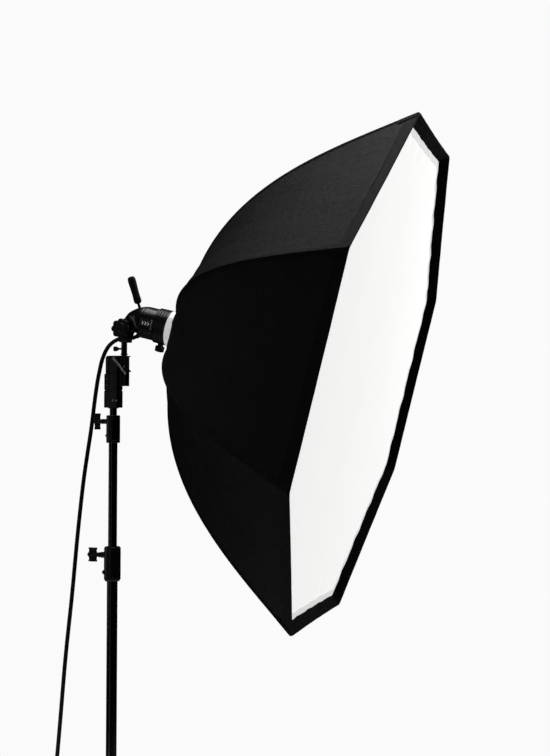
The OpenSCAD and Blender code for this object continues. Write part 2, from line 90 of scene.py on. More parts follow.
ST = T(OX, 0, 0)                                   # stand, column on z
HD = T(OX + 37, 0, 2000) @ R("Y", 14)              # flash head, x along the light's axis
AX = HD @ T(0, 0, 38) @ R("Y", 90)                 # z along the light's axis
GL = HD @ T(50, 26, 2) @ R("Z", -12) @ R("Y", 225)  # cable gland
HN = HD @ T(35.5, 0, 74) @ R("Y", -31.2)           # tilt handle
LEG = {a: ST @ R("Z", a) for a in (0, 120, 240)}


def tf(m, pts):
    pts = np.asarray(pts, float).reshape(-1, 3)
    return pts @ m[:3, :3].T + m[:3, 3]


# ------------------------------------------------------------------ materials
def new_mat(name):
    m = bpy.data.materials.new(name)
    m.use_nodes = True
    nt = m.node_tree
    return m, nt, nt.nodes["Principled BSDF"]


def coords(nt, kind="Object", scale=(1, 1, 1)):
    tc = nt.nodes.new("ShaderNodeTexCoord")
    mp = nt.nodes.new("ShaderNodeMapping")
    mp.inputs["Scale"].default_value = scale
    nt.links.new(tc.outputs[kind], mp.inputs["Vector"])
    return mp.outputs["Vector"]


def noise_tex(nt, vec, scale, detail=3, rough=0.55, dist=0.0):
    n = nt.nodes.new("ShaderNodeTexNoise")
    n.inputs["Scale"].default_value = scale
    n.inputs["Detail"].default_value = detail
    n.inputs["Roughness"].default_value = rough
    n.inputs["Distortion"].default_value = dist
    nt.links.new(vec, n.inputs["Vector"])
    return n.outputs["Fac"]


def ramp(nt, fac, stops):
    r = nt.nodes.new("ShaderNodeValToRGB")
    e = r.color_ramp.elements
    while len(e) < len(stops):
        e.new(0.5)
    for i, (p, c) in enumerate(stops):
        e[i].position = p
        e[i].color = (*c, 1) if len(c) == 3 else c
    nt.links.new(fac, r.inputs["Fac"])
    return r.outputs["Color"]


def rmap(nt, fac, lo, hi, a=0.0, b=1.0):
    m = nt.nodes.new("ShaderNodeMapRange")
    m.inputs["From Min"].default_value = a
    m.inputs["From Max"].default_value = b
    m.inputs["To Min"].default_value = lo
    m.inputs["To Max"].default_value = hi
    nt.links.new(fac, m.inputs["Value"])
    return m.outputs["Result"]


def mth(nt, op, a, b=None, clamp=False):
    m = nt.nodes.new("ShaderNodeMath")
    m.operation = op
    m.use_clamp = clamp
    for i, v in enumerate((a, b)):
        if v is None:
            continue
        if isinstance(v, (int, float)):
            m.inputs[i].default_value = v
        else:
            nt.links.new(v, m.inputs[i])
    return m.outputs[0]


def bump(nt, bsdf, height, dist, strength=1.0, prev=None):
    b = nt.nodes.new("ShaderNodeBump")
    b.inputs["Distance"].default_value = dist
    b.inputs["Strength"].default_value = strength
    nt.links.new(height, b.inputs["Height"])
    if prev is not None:
        nt.links.new(prev, b.inputs["Normal"])
    nt.links.new(b.outputs["Normal"], bsdf.inputs["Normal"])
    return b.outputs["Normal"]


def c3(c, k):
    return tuple(min(1.0, max(0.0, v * k)) for v in c)


def solid(name, color, rough, var=0.25, rvar=0.06, scale=30, metallic=0.0, spec=0.5, grain=0.0,
          grain_scale=900, coat=0.0, coat_rough=0.2, edge=None, dust=0.0, aniso=0.0):
    """Painted, cast, moulded or metal surface with mottled colour, gloss and a fine grain."""
    m, nt, b = new_mat(name)
    v = coords(nt)
    n1 = noise_tex(nt, v, scale, 4)
    col = ramp(nt, n1, [(0.3, c3(color, 1 - var)), (0.7, c3(color, 1 + var))])
    n2 = noise_tex(nt, v, scale * 3.1, 5, 0.6, 0.3)
    if dust:
        mix = nt.nodes.new("ShaderNodeMix")
        mix.data_type = "RGBA"
        f = rmap(nt, n2, 0.0, dust, 0.52, 0.75)
        nt.links.new(f, mix.inputs["Factor"])
        nt.links.new(col, mix.inputs[6])
        mix.inputs[7].default_value = (0.32, 0.31, 0.29, 1)
        col = mix.outputs[2]
    if edge is not None:
        # worn edges: where a rounded normal differs from the true one
        bv = nt.nodes.new("ShaderNodeBevel")
        bv.samples = 4
        bv.inputs["Radius"].default_value = 0.0012
        ge = nt.nodes.new("ShaderNodeNewGeometry")
        dot = nt.nodes.new("ShaderNodeVectorMath")
        dot.operation = "DOT_PRODUCT"
        nt.links.new(bv.outputs["Normal"], dot.inputs[0])
        nt.links.new(ge.outputs["Normal"], dot.inputs[1])
        wear = rmap(nt, dot.outputs["Value"], 1.0, 0.0, 0.75, 0.97)
        wear = mth(nt, "MULTIPLY", wear, rmap(nt, n2, 0.0, 1.0, 0.42, 0.62), True)
        mix = nt.nodes.new("ShaderNodeMix")
        mix.data_type = "RGBA"
        nt.links.new(wear, mix.inputs["Factor"])
        nt.links.new(col, mix.inputs[6])
        mix.inputs[7].default_value = (*edge, 1)
        col = mix.outputs[2]
    nt.links.new(col, b.inputs["Base Color"])
    nt.links.new(rmap(nt, n2, rough - rvar, rough + rvar, 0.3, 0.7), b.inputs["Roughness"])
    b.inputs["Metallic"].default_value = metallic
    b.inputs["Specular IOR Level"].default_value = spec
    b.inputs["Coat Weight"].default_value = coat
    b.inputs["Coat Roughness"].default_value = coat_rough
    if aniso:
        b.inputs["Anisotropic"].default_value = aniso
    if grain:
        bump(nt, b, noise_tex(nt, v, grain_scale, 2, 0.5), grain)
    return m


def woven(name, color, rough=0.62, thread=0.0009, depth=0.00012, sheen=0.25, sheen_rough=0.45,
          var=0.2, spec=0.3, slub=0.3, emit=None, sss=0.0, metallic=0.0, crease=0.0):
    """Woven cloth: warp and weft threads along the cloth's own UV directions, in metres."""
    m, nt, b = new_mat(name)
    uv = coords(nt, "UV")
    ob = coords(nt)
    k = 2 * math.pi / (20 * thread)
    waves = []
    for d in ("X", "Y"):
        w = nt.nodes.new("ShaderNodeTexWave")
        w.wave_type = "BANDS"
        w.bands_direction = d
        w.wave_profile = "SIN"
        w.inputs["Scale"].default_value = k
        w.inputs["Distortion"].default_value = 0.35
        w.inputs["Detail"].default_value = 1
        nt.links.new(uv, w.inputs["Vector"])
        waves.append(w.outputs["Fac"])
    ck = nt.nodes.new("ShaderNodeTexChecker")
    ck.inputs["Scale"].default_value = 1 / thread
    ck.inputs["Color1"].default_value = (1, 1, 1, 1)
    ck.inputs["Color2"].default_value = (0, 0, 0, 1)
    nt.links.new(uv, ck.inputs["Vector"])
    mx = nt.nodes.new("ShaderNodeMix")
    nt.links.new(ck.outputs["Fac"], mx.inputs["Factor"])
    nt.links.new(waves[0], mx.inputs[2])
    nt.links.new(waves[1], mx.inputs[3])
    weave = mx.outputs[0]
    big = noise_tex(nt, ob, 7, 4, 0.6)
    thr = noise_tex(nt, ob, 260, 2, 0.6)
    tone = mth(nt, "ADD", mth(nt, "MULTIPLY", big, 0.65), mth(nt, "MULTIPLY", thr, 0.35))
    base = ramp(nt, tone, [(0.35, c3(color, 1 - var)), (0.65, c3(color, 1 + var))])
    mixc = nt.nodes.new("ShaderNodeMix")
    mixc.data_type = "RGBA"
    mixc.blend_type = "MULTIPLY"
    nt.links.new(rmap(nt, weave, slub, 0.0), mixc.inputs["Factor"])
    nt.links.new(base, mixc.inputs[6])
    mixc.inputs[7].default_value = (0.55, 0.55, 0.55, 1)
    nt.links.new(mixc.outputs[2], b.inputs["Base Color"])
    nt.links.new(rmap(nt, thr, rough - 0.07, rough + 0.07, 0.3, 0.7), b.inputs["Roughness"])
    b.inputs["Specular IOR Level"].default_value = spec
    b.inputs["Metallic"].default_value = metallic
    b.inputs["Sheen Weight"].default_value = sheen
    b.inputs["Sheen Roughness"].default_value = sheen_rough
    n0 = None
    if crease:
        cr = noise_tex(nt, coords(nt, "Object", (1, 1, 1)), 22, 5, 0.62, 1.2)
        n0 = bump(nt, b, cr, crease, 0.6)
    bump(nt, b, weave, depth, 1.0, n0)
    if emit:
        b.inputs["Emission Color"].default_value = (*emit[0], 1)
        b.inputs["Emission Strength"].default_value = emit[1]
    return m


M = {}
M["shell"] = woven("black_nylon", (0.0110, 0.0110, 0.0115), 0.58, 0.0008, 0.00010, 0.0, 0.35, 0.30, 0.16, 0.35, crease=0.0045)
M["lining"] = woven("silver_lining", (0.62, 0.62, 0.63), 0.34, 0.0009, 0.00010, 0.0, 0.4, 0.06, 0.5, 0.1, metallic=0.85)
M["hem"] = woven("black_hem", (0.0055, 0.0055, 0.0058), 0.62, 0.0010, 0.00014, 0.02, 0.4, 0.16, 0.14, 0.35)
M["velvet"] = woven("lip_velvet", (0.0012, 0.0012, 0.0013), 0.95, 0.0012, 0.0002, 0.015, 0.6, 0.25, 0.04, 0.2)
# painted shadow: the seam tape's dark colour is partly the real black binding and partly a painted shadow line along
# each seam; the same darkened tape covers the corner pockets and the inner straps
M["tape"] = woven("seam_tape", (0.0030, 0.0030, 0.0032), 0.66, 0.0012, 0.0002, 0.0, 0.4, 0.2, 0.18, 0.4)
# painted highlight: the thread's grey is partly its own colour and partly a painted light line beside each seam ridge;
# every stitch row uses it
M["thread"] = woven("thread", (0.060, 0.060, 0.062), 0.5, 0.0004, 0.00006, 0.1, 0.4, 0.2, 0.3, 0.3)
# painted light: the diffuser cloth glows by emission, as if lit through from the head inside, though no lamp in the box
# emits; the inner sheet uses the same glowing cloth
M["white"] = woven("diffuser_cloth_painted_glow", (0.86, 0.86, 0.855), 0.7, 0.0009, 0.00008, 0.08, 0.5, 0.015, 0.2, 0.05,
                   emit=((1.0, 0.998, 0.992), 0.76))
# painted shade: the edge band glows less and is a little greyer than the sheet, which paints a darker band round the
# diffuser's edge over the real sewn band
M["white_band"] = woven("diffuser_band_painted_glow_and_shade", (0.80, 0.80, 0.79), 0.75, 0.0012, 0.00014, 0.08, 0.5, 0.03, 0.2, 0.1,
                        emit=((1.0, 0.998, 0.992), 0.58))
M["tube"] = solid("anodised_tube", (0.0035, 0.0035, 0.004), 0.17, 0.2, 0.03, 18, 0.0, 0.55, 0.000005, 1600, coat=0.15, coat_rough=0.15, edge=(0.10, 0.10, 0.10))
M["cast"] = solid("painted_casting", (0.006, 0.006, 0.0065), 0.34, 0.25, 0.07, 40, 0.0, 0.5, 0.00006, 1300, edge=(0.09, 0.09, 0.09))
M["housing"] = solid("head_paint", (0.0045, 0.0045, 0.005), 0.30, 0.2, 0.06, 30, 0.0, 0.5, 0.00005, 1500, coat=0.1, coat_rough=0.25, edge=(0.06, 0.06, 0.062))
M["plastic"] = solid("moulded_plastic", (0.006, 0.006, 0.0065), 0.46, 0.25, 0.08, 60, 0.0, 0.42, 0.00008, 1100)
M["rubber"] = solid("rubber", (0.009, 0.009, 0.009), 0.72, 0.3, 0.07, 55, 0.0, 0.3, 0.00012, 800, dust=0.02)
M["cable"] = solid("cable_rubber", (0.004, 0.004, 0.004), 0.50, 0.25, 0.07, 45, 0.0, 0.4, 0.00006, 900, dust=0.015)
M["steel"] = solid("bright_steel", (0.55, 0.55, 0.57), 0.24, 0.08, 0.06, 60, 1.0, 0.5, 0.00002, 2200)
M["zinc"] = solid("zinc_screw", (0.42, 0.42, 0.44), 0.33, 0.12, 0.07, 90, 1.0, 0.5, 0.00003, 1500)
M["silver"] = solid("polished_ring_painted_reflection", (0.95, 0.95, 0.95), 0.30, 0.02, 0.04, 40, 0.5, 0.5, 0.00001, 1800)
_pr = [n for n in M["silver"].node_tree.nodes if n.type == "BSDF_PRINCIPLED"][0]
_pr.inputs["Emission Color"].default_value = (1, 1, 1, 1)
_pr.inputs["Emission Strength"].default_value = 0.46      # painted reflection: a glow standing in for the pale studio it mirrors
M["plate"] = solid("plate_alloy", (0.5, 0.5, 0.52), 0.36, 0.1, 0.06, 50, 1.0, 0.5, 0.00004, 1200)
M["rod"] = solid("glass_fibre_rod", (0.05, 0.05, 0.055), 0.4, 0.25, 0.08, 120, 0.0, 0.45, 0.00004, 1400)
M["dish"] = solid("bright_dish", (0.86, 0.86, 0.87), 0.22, 0.04, 0.06, 60, 1.0, 0.5, 0.0001, 300)
M["mark"] = solid("white_marks_painted_glow", (0.72, 0.72, 0.70), 0.55, 0.06, 0.05, 200, 0.0, 0.4, 0.00002, 2000)
M["lamp"] = solid("frosted_lamp", (0.88, 0.87, 0.82), 0.45, 0.03, 0.05, 80, 0.0, 0.5, 0.00004, 900)


def glass_mat():
    m, nt, b = new_mat("dome_glass")
    v = coords(nt)
    b.inputs["Base Color"].default_value = (0.97, 0.98, 0.98, 1)
    b.inputs["Transmission Weight"].default_value = 1.0
    b.inputs["IOR"].default_value = 1.47
    nt.links.new(rmap(nt, noise_tex(nt, v, 40, 3), 0.12, 0.22, 0.3, 0.7), b.inputs["Roughness"])
    bump(nt, b, noise_tex(nt, v, 300, 2), 0.00003)
    return m


M["glass"] = glass_mat()
# painted glow: the white scale marks emit a little light on top of their printed white
_pm = M["mark"].node_tree.nodes["Principled BSDF"]
_pm.inputs["Emission Color"].default_value = (1, 1, 1, 1)
_pm.inputs["Emission Strength"].default_value = 0.35

# ------------------------------------------------------------------ mesh helpers


def add(name, verts, faces, mat, body=None, m=None, sharp=35, face_mats=None, uv=None, slot=None,
        nodes=(), smooth=True):
    """A mesh piece from millimetre points, put through the frame m, riding on body."""
    v = tf(m if m is not None else np.eye(4), verts) * 0.001
    me = bpy.data.meshes.new(name)
    me.from_pydata(v.tolist(), [], [list(map(int, f)) for f in faces])
    ob = bpy.data.objects.new(name, me)
    scene.collection.objects.link(ob)
    mats = mat if isinstance(mat, (list, tuple)) else [mat]
    for x in mats:
        me.materials.append(M[x])
    if face_mats is not None:
        me.polygons.foreach_set("material_index", np.asarray(face_mats, np.int32))
    if uv is not None:
        layer = me.uv_layers.new(name="cloth")
        idx = np.empty(len(me.loops), np.int32)
        me.loops.foreach_get("vertex_index", idx)
        layer.data.foreach_set("uv", np.asarray(uv, float)[idx].astype(np.float32).ravel())
    me.validate()
    bm = bmesh.new()
    bm.from_mesh(me)
    bmesh.ops.recalc_face_normals(bm, faces=bm.faces)
    bm.to_mesh(me)
    bm.free()
    if smooth:
        me.polygons.foreach_set("use_smooth", np.ones(len(me.polygons), bool))
        if sharp:
            me.set_sharp_from_angle(angle=math.radians(sharp))
    if body:
        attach(ob, body)
    for n in nodes:
        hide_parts(n)
    return ob


def box_uv(ob):
    """Cloth UVs in metres from each face's own plane, for small pieces."""
    me = ob.data
    layer = me.uv_layers.get("cloth") or me.uv_layers.new(name="cloth")
    for p in me.polygons:
        n = p.normal
        a = Vector((0, 0, 1)) if abs(n.z) < 0.8 else Vector((1, 0, 0))
        t = a.cross(n).normalized()
        b = n.cross(t)
        for li in p.loop_indices:
            co = me.vertices[me.loops[li].vertex_index].co
            layer.data[li].uv = (co.dot(t), co.dot(b))
    return ob


def rnd(poly, r, closed=False, seg=4, min_turn=18):
    """A polyline with its corners rounded to about r."""
    pts = [np.array(p, float) for p in poly]
    n = len(pts)
    out = []
    for i, p in enumerate(pts):
        if not closed and i in (0, n - 1):
            out.append(p)
            continue
        a, c = pts[(i - 1) % n], pts[(i + 1) % n]
        la, lc = np.linalg.norm(a - p), np.linalg.norm(c - p)
        if la < 1e-9 or lc < 1e-9:
            continue
        da, dc = (a - p) / la, (c - p) / lc
        turn = 180 - math.degrees(math.acos(max(-1, min(1, float(da @ dc)))))
        if turn < min_turn:
            out.append(p)
            continue
        k = min(r * math.tan(math.radians(turn / 2)), la * 0.46, lc * 0.46)
        s, e = p + da * k, p + dc * k
        for j in range(seg + 1):
            t = j / seg
            out.append(s * (1 - t) ** 2 + 2 * p * t * (1 - t) + e * t * t)
    return [tuple(q) for q in out]


def lathe(profile, n=96, closed=False, r=0.0, seg=4):
    """(radius, z) profile turned about z. Open profiles that start or end at radius 0 close on the axis."""
    pr = rnd(profile, r, closed, seg) if r else profile
    verts, faces, rows = [], [], []
    ang = [2 * math.pi * i / n for i in range(n)]
    for (rad, z) in pr:
        if rad < 1e-6:
            rows.append([len(verts)])
            verts.append((0, 0, z))
        else:
            rows.append(list(range(len(verts), len(verts) + n)))
            verts += [(rad * math.cos(a), rad * math.sin(a), z) for a in ang]
    pairs = list(zip(rows, rows[1:])) + ([(rows[-1], rows[0])] if closed else [])
    for a, b in pairs:
        for i in range(n):
            j = (i + 1) % n
            if len(a) == 1 and len(b) == 1:
                continue
            if len(a) == 1:
                faces.append((a[0], b[i], b[j]))
            elif len(b) == 1:
                faces.append((a[i], b[0], a[j]))
            else:
                faces.append((a[i], b[i], b[j], a[j]))
    return verts, faces


def loft(rings, cap=True, loop=False):
    n = len(rings[0])
    verts = [p for g in rings for p in g]
    faces = []
    m = len(rings)
    for i in range(m if loop else m - 1):
        for j in range(n):
            k = (j + 1) % n
            i2 = (i + 1) % m
            faces.append((i * n + j, i * n + k, i2 * n + k, i2 * n + j))
    if cap and not loop:
        faces.append(tuple(range(n))[::-1])
        faces.append(tuple((m - 1) * n + j for j in range(n)))
    return verts, faces


def frames_along(path):
    p = np.asarray(path, float)
    t = np.gradient(p, axis=0)
    t /= np.linalg.norm(t, axis=1)[:, None]
    u = np.cross(t[0], (0, 1, 0))
    if np.linalg.norm(u) < 1e-3:
        u = np.cross(t[0], (1, 0, 0))
    u /= np.linalg.norm(u)
    us = []
    for i in range(len(p)):
        u = u - t[i] * (u @ t[i])
        u /= np.linalg.norm(u)
        us.append(u.copy())
    us = np.array(us)
    return p, t, us, np.cross(t, us)


def tube(path, rad, n=14, cap=True):
    p, t, u, w = frames_along(path)
    rad = np.broadcast_to(np.asarray(rad, float), (len(p),))
    rings = []
    for i in range(len(p)):
        rings.append([tuple(p[i] + rad[i] * (math.cos(a) * u[i] + math.sin(a) * w[i]))
                      for a in (2 * math.pi * j / n for j in range(n))])
    return loft(rings, cap)


def merge(*parts):
    verts, faces = [], []
    for v, f in parts:
        k = len(verts)
        verts += [tuple(p) for p in v]
        faces += [tuple(i + k for i in q) for q in f]
    return verts, faces


def moved(part, m):
    return [tuple(p) for p in tf(m, part[0])], part[1]


def circle2(r, n=32, cx=0.0, cy=0.0, a0=0.0, a1=360.0):
    full = abs(a1 - a0 - 360) < 1e-6
    k = n if full else n + 1
    return [(cx + r * math.cos(math.radians(a0 + (a1 - a0) * i / n)),
             cy + r * math.sin(math.radians(a0 + (a1 - a0) * i / n))) for i in range(k)]


def rrect(w, d, r, cx=0.0, cy=0.0, n=6):
    out = []
    for sx, sy, a in ((1, 1, 0), (-1, 1, 90), (-1, -1, 180), (1, -1, 270)):
        out += circle2(r, n, cx + sx * (w / 2 - r), cy + sy * (d / 2 - r), a, a + 90)
    return out


def slab(outline, z0, z1, bevel=0.8, seg=3, top=None):
    """A flat outline spread from z0 to z1 with its rims rounded."""
    n = len(outline)
    b = min(bevel, (z1 - z0) * 0.45)
    o = np.array(outline, float)
    nxt, prv = np.roll(o, -1, 0), np.roll(o, 1, 0)
    d = nxt - prv
    nm = np.stack([d[:, 1], -d[:, 0]], 1)
    nm /= np.maximum(np.linalg.norm(nm, axis=1)[:, None], 1e-9)
    area = 0.5 * np.sum(o[:, 0] * nxt[:, 1] - nxt[:, 0] * o[:, 1])
    if area < 0:
        nm = -nm
    rings = []
    for k in range(seg + 1):
        a = math.pi / 2 * k / seg            # 0 at the face, pi/2 at the wall
        q = o - nm * b * (1 - math.sin(a))
        rings.append([(x, y, z0 + b * (1 - math.cos(a))) for x, y in q])
    for k in range(seg + 1):
        a = math.pi / 2 * (1 - k / seg)
        q = o - nm * b * (1 - math.sin(a))
        rings.append([(x, y, z1 - b * (1 - math.cos(a))) for x, y in q])
    return loft(rings)


def XZ(y0):
    """Frame for a slab in the XZ plane: its x is X, its y is Z, and its z runs towards -Y from y0."""
    return T(0, y0, 0) @ R("X", 90)


def screw_head(r, h, m, hexr=None):
    """A low socket-head screw seen from +z: rim, dished top and a hexagonal recess."""
    hexr = hexr or r * 0.45
    pr = [(0, 0), (r, 0), (r, h * 0.8), (r * 0.86, h), (hexr * 1.15, h)]
    v, f = lathe(pr, 32)
    # drop the closing fan and sink a hexagon in its place
    n = len(v)
    ring = list(range(n - 32, n))
    v = list(v)
    hx = [(hexr * math.cos(2 * math.pi * i / 32) / max(abs(math.cos(((2 * math.pi * i / 32) % (math.pi / 3)) - math.pi / 6)), 0.5) * 0.87,
           hexr * math.sin(2 * math.pi * i / 32) / max(abs(math.cos(((2 * math.pi * i / 32) % (math.pi / 3)) - math.pi / 6)), 0.5) * 0.87) for i in range(32)]
    a = len(v)
    v += [(x, y, h) for x, y in hx]
    b = len(v)
    v += [(x, y, h * 0.35) for x, y in hx]
    for i in range(32):
        j = (i + 1) % 32
        f.append((ring[i], ring[j], a + j, a + i))
        f.append((a + i, a + j, b + j, b + i))
    f.append(tuple(b + i for i in range(32)))
    return moved((v, f), m)


def cat_rom(pts, per):
    p = [np.array(q, float) for q in pts]
    out = []
    for i in range(1, len(p) - 2):
        for k in range(per):
            t = k / per
            a, b, c, d = p[i - 1], p[i], p[i + 1], p[i + 2]
            out.append(0.5 * (2 * b + (c - a) * t + (2 * a - 5 * b + 4 * c - d) * t * t
                              + (3 * b - a - 3 * c + d) * t ** 3))
    out.append(p[-2])
    return np.array(out)


# ------------------------------------------------------------------ cable (first, as its length is measured)
CABLE = [(83, 26.5, 1988), (64.8, 29.8, 1978), (47, 32, 1973.5), (27, 33.5, 1973), (6, 33.5, 1971.5),
         (-13, 33, 1963.5), (-29, 33, 1950.5), (-39.5, 32, 1935.5), (-47.5, 31, 1918), (-54, 29.5, 1898), (-60, 27, 1868),
         (-66, 23, 1828), (-72.5, 20, 1775), (-83.5, 18, 1682), (-96.5, 14, 1588), (-107.5, 9, 1495),
         (-121, 1, 1340), (-136, -5, 1150), (-154, -12, 950), (-174, -14, 700), (-197, -14, 450),
         (-226, -12, 220), (-252, -10, 90), (-286, -7, 25), (-314, -4, 9.4)]
CD = 13.2
COIL = (-440.0, 0.0)
Z_LOW, Z_UP = 6.6, 19.9


def build_cable():
    """Centre line: the hanging run, then a flat coil of two layers, in and out again, and a straight end."""
    line = cat_rom(CABLE + [(-338.0, 5.0, Z_LOW), (-359.0, 21.0, Z_LOW)], 6)
    pitch, r0, a0 = 13.3, 70.5, 50.0
    pts = []
    turns, climb = 2.0, 40.0
    a = a0
    while a < a0 + 360 * turns + climb + 360 * turns + 1e-6:
        t1 = a0 + 360 * turns
        if a <= t1:
            r, z = r0 - pitch * (a - a0) / 360, Z_LOW
        elif a <= t1 + climb:
            f = (a - t1) / climb
            f = f * f * (3 - 2 * f)
            r, z = r0 - pitch * turns, Z_LOW + (Z_UP - Z_LOW) * f
        else:
            r, z = r0 - pitch * turns + pitch * (a - t1 - climb) / 360, Z_UP
        pts.append((COIL[0] + r * math.cos(math.radians(a)), COIL[1] + r * math.sin(math.radians(a)), z))
        a += 10.0
    cx = COIL[0]
    tail = [(cx - 14, 70.5, 19.3), (cx - 30, 70.5, 17.4), (cx - 44, 70.5, 16.1), (cx - 56, 70.5, 16.0), (cx - 68, 70.5, 16.0)]
    rest = cat_rom([tuple(line[-2]), tuple(line[-1])] + [(-378.0, 37.5, Z_LOW)] + pts + tail, 2)
    line[:, 2] = np.maximum(line[:, 2], Z_LOW)
    rest[:, 2] = np.maximum(rest[:, 2], Z_LOW)
    return line, rest


hang, coil = build_cable()
full = np.vstack([hang[:-1], coil])
_d = np.diff(full, axis=0)
_l = np.linalg.norm(_d, axis=1)
_u = _d / _l[:, None]
_bend = (_l[1:] + _l[:-1]) / 2 / np.maximum(np.arccos(np.clip((_u[1:] * _u[:-1]).sum(axis=1), -1, 1)), 1e-6)
print("CABLE total mm", round(float(_l.sum())), "tightest bend mm", round(float(_bend.min()), 1), np.round(full[1 + int(_bend.argmin())], 1))


def split_at(z):
    """Index of the hanging point nearest a height on the way down."""
    return int(np.argmin(np.abs(full[:len(hang), 2] - z) + (np.arange(len(hang)) < 10) * 1e4))


i1, i2, i3 = split_at(1958), split_at(1776), split_at(1560)
cuts = [0, i1, i2, i3, len(full) - 1]
names = ["cable_at_head", "cable_at_bracket", "cable_at_top_tube", "cable_to_floor"]
cords = []
for k, nm in enumerate(names):
    seg = full[cuts[k]:cuts[k + 1] + 1]
    v, f = tube(seg, CD / 2, 16)
    ob = add(nm, v, f, "cable", m=ST, sharp=60, slot="cable_rubber")
    path = (tf(ST, seg) * 0.001).tolist()
    if k < 3:
        s, e = path[0], path[-1]
    else:
        s, e = path[0], path[[i for i, q in enumerate(seg) if q[2] < 420][0]]
    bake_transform(ob)
    L = float(np.linalg.norm(np.diff(np.array(path), axis=0), axis=1).sum())
    cords.append([ob, path, L])

# ------------------------------------------------------------------ softbox cloth
P_X, P_R = (830, 581, 259, 201.5), (RIM, 654, 487, 110)


def bz(p, t):
    return p[0] * (1 - t) ** 3 + 3 * p[1] * (1 - t) ** 2 * t + 3 * p[2] * (1 - t) * t * t + p[3] * t ** 3


def dbz(p, t):
    return 3 * ((p[1] - p[0]) * (1 - t) ** 2 + 2 * (p[2] - p[1]) * (1 - t) * t + (p[3] - p[2]) * t * t)


def prof(t, d=0.0):
    """Axial place and corner radius on a rod's line, moved d outwards."""
    x, r = bz(P_X, t), bz(P_R, t)
    dx, dr = dbz(P_X, t), dbz(P_R, t)
    n = math.hypot(dx, dr)
    return x + d * dr / n, r - d * dx / n


def nrm2(t):
    dx, dr = dbz(P_X, t), dbz(P_R, t)
    n = math.hypot(dx, dr)
    return dr / n, -dx / n          # (axial, outward)


TT = np.linspace(0, 1, 400)
_xs = np.array([prof(t) for t in TT])
ARC = np.concatenate([[0], np.cumsum(np.linalg.norm(np.diff(_xs, axis=0), axis=1))])
T_HEM = 0.046


def t_of(s):
    return float(np.interp(s, ARC, TT))


def s_of(t):
    return float(np.interp(t, TT, ARC))


def nz(x, y, z, f=1.0):
    return noise.noise(Vector((x * f, y * f, z * f)))


# panels counted from the underside, towards the far side: 0 bottom, 2 far, 4 top, 6 near
SAG = {0: 9, 1: 9, 2: 10, 3: 9, 4: 8, 5: 8, 6: 11, 7: 12}
PHASE = {k: v for k, v in enumerate(rng.uniform(0, 6.28, 8))}


def cloth_drop(k, t, u):
    """How far panel k hangs inside the flat sheet between its rods (mm, inwards) at t along and u across."""
    edge = 1 - abs(u) ** 2.2
    body = SAG[k] * edge * math.sin(math.pi * min(1, t * 1.06)) ** 0.75
    # gathers that fan out from the ring and die away up the panel
    near = max(0.0, (t - 0.50) / 0.50)
    amp = (10.0 if k in (7, 0, 1) else 3.4) * near ** 1.2 * (1 - abs(u) ** 6)
    fold = math.sin(PHASE[k] + 5.2 * u + 1.5 * math.sin(2.1 * u + PHASE[k])) * 0.7 + \
        math.sin(PHASE[k] * 2 + 9.5 * u) * 0.35
    # long soft pulls along the panel, and a slack roll near the rim
    pull = 1.5 * nz(u * 1.6 + k * 3.1, t * 1.2, k * 1.7) * edge
    slack = 1.1 * nz(u * 3.0 + k * 5.0, t * 7.0, 4.0 + k) * edge
    crease = 0.0
    if k in (7, 0):      # lower panels: a couple of diagonal drags from the ring
        for c, w, a in ((0.25, 0.11, 12.0), (-0.35, 0.13, 11.0), (-0.02, 0.08, 7.0), (-0.68, 0.09, 7.5), (0.62, 0.10, 6.5)):
            x = u - c * (0.4 + 0.9 * (1 - t))
            crease += a * math.exp(-(x / w) ** 2) * max(0.0, min(1.0, (t - 0.30) / 0.35)) * min(1.0, (1.0 - t) / 0.06)
    corner = 0.9 * math.exp(-((1 - abs(u)) / 0.16)) * math.sin(t * 55 + k) * (1 - abs(u)) * 3
    return body + amp * fold + pull + slack + crease + corner


def on_panel(k, t, u, lift=0.0):
    """Point on panel k of the shell's outside, in the axial frame, lifted lift mm off the cloth."""
    x, r = prof(t)
    na, no = nrm2(t)
    d = lift - cloth_drop(k, t, u)
    out = r * C8 + d * no * C8
    lat = r * S8 * u
    ax = x + d * na
    a = math.radians(45 * k)
    ca, sa = math.cos(a), math.sin(a)
    return (out * ca - lat * sa, out * sa + lat * ca, ax)


def at_corner(c, t, n_off=0.0, side=0.0):
    """Point by corner seam c (between panels c and c+1): n_off outwards, side mm round it."""
    x, r = prof(t)
    na, no = nrm2(t)
    a = math.radians(22.5 + 45 * c)
    ca, sa = math.cos(a), math.sin(a)
    drop = abs(side) * math.tan(math.radians(22.5)) * no
    o, l, ax = r + (n_off - drop) * no, side, x + (n_off - drop) * na
    return (o * ca - l * sa, o * sa + l * ca, ax)


NU, NV = 40, 84


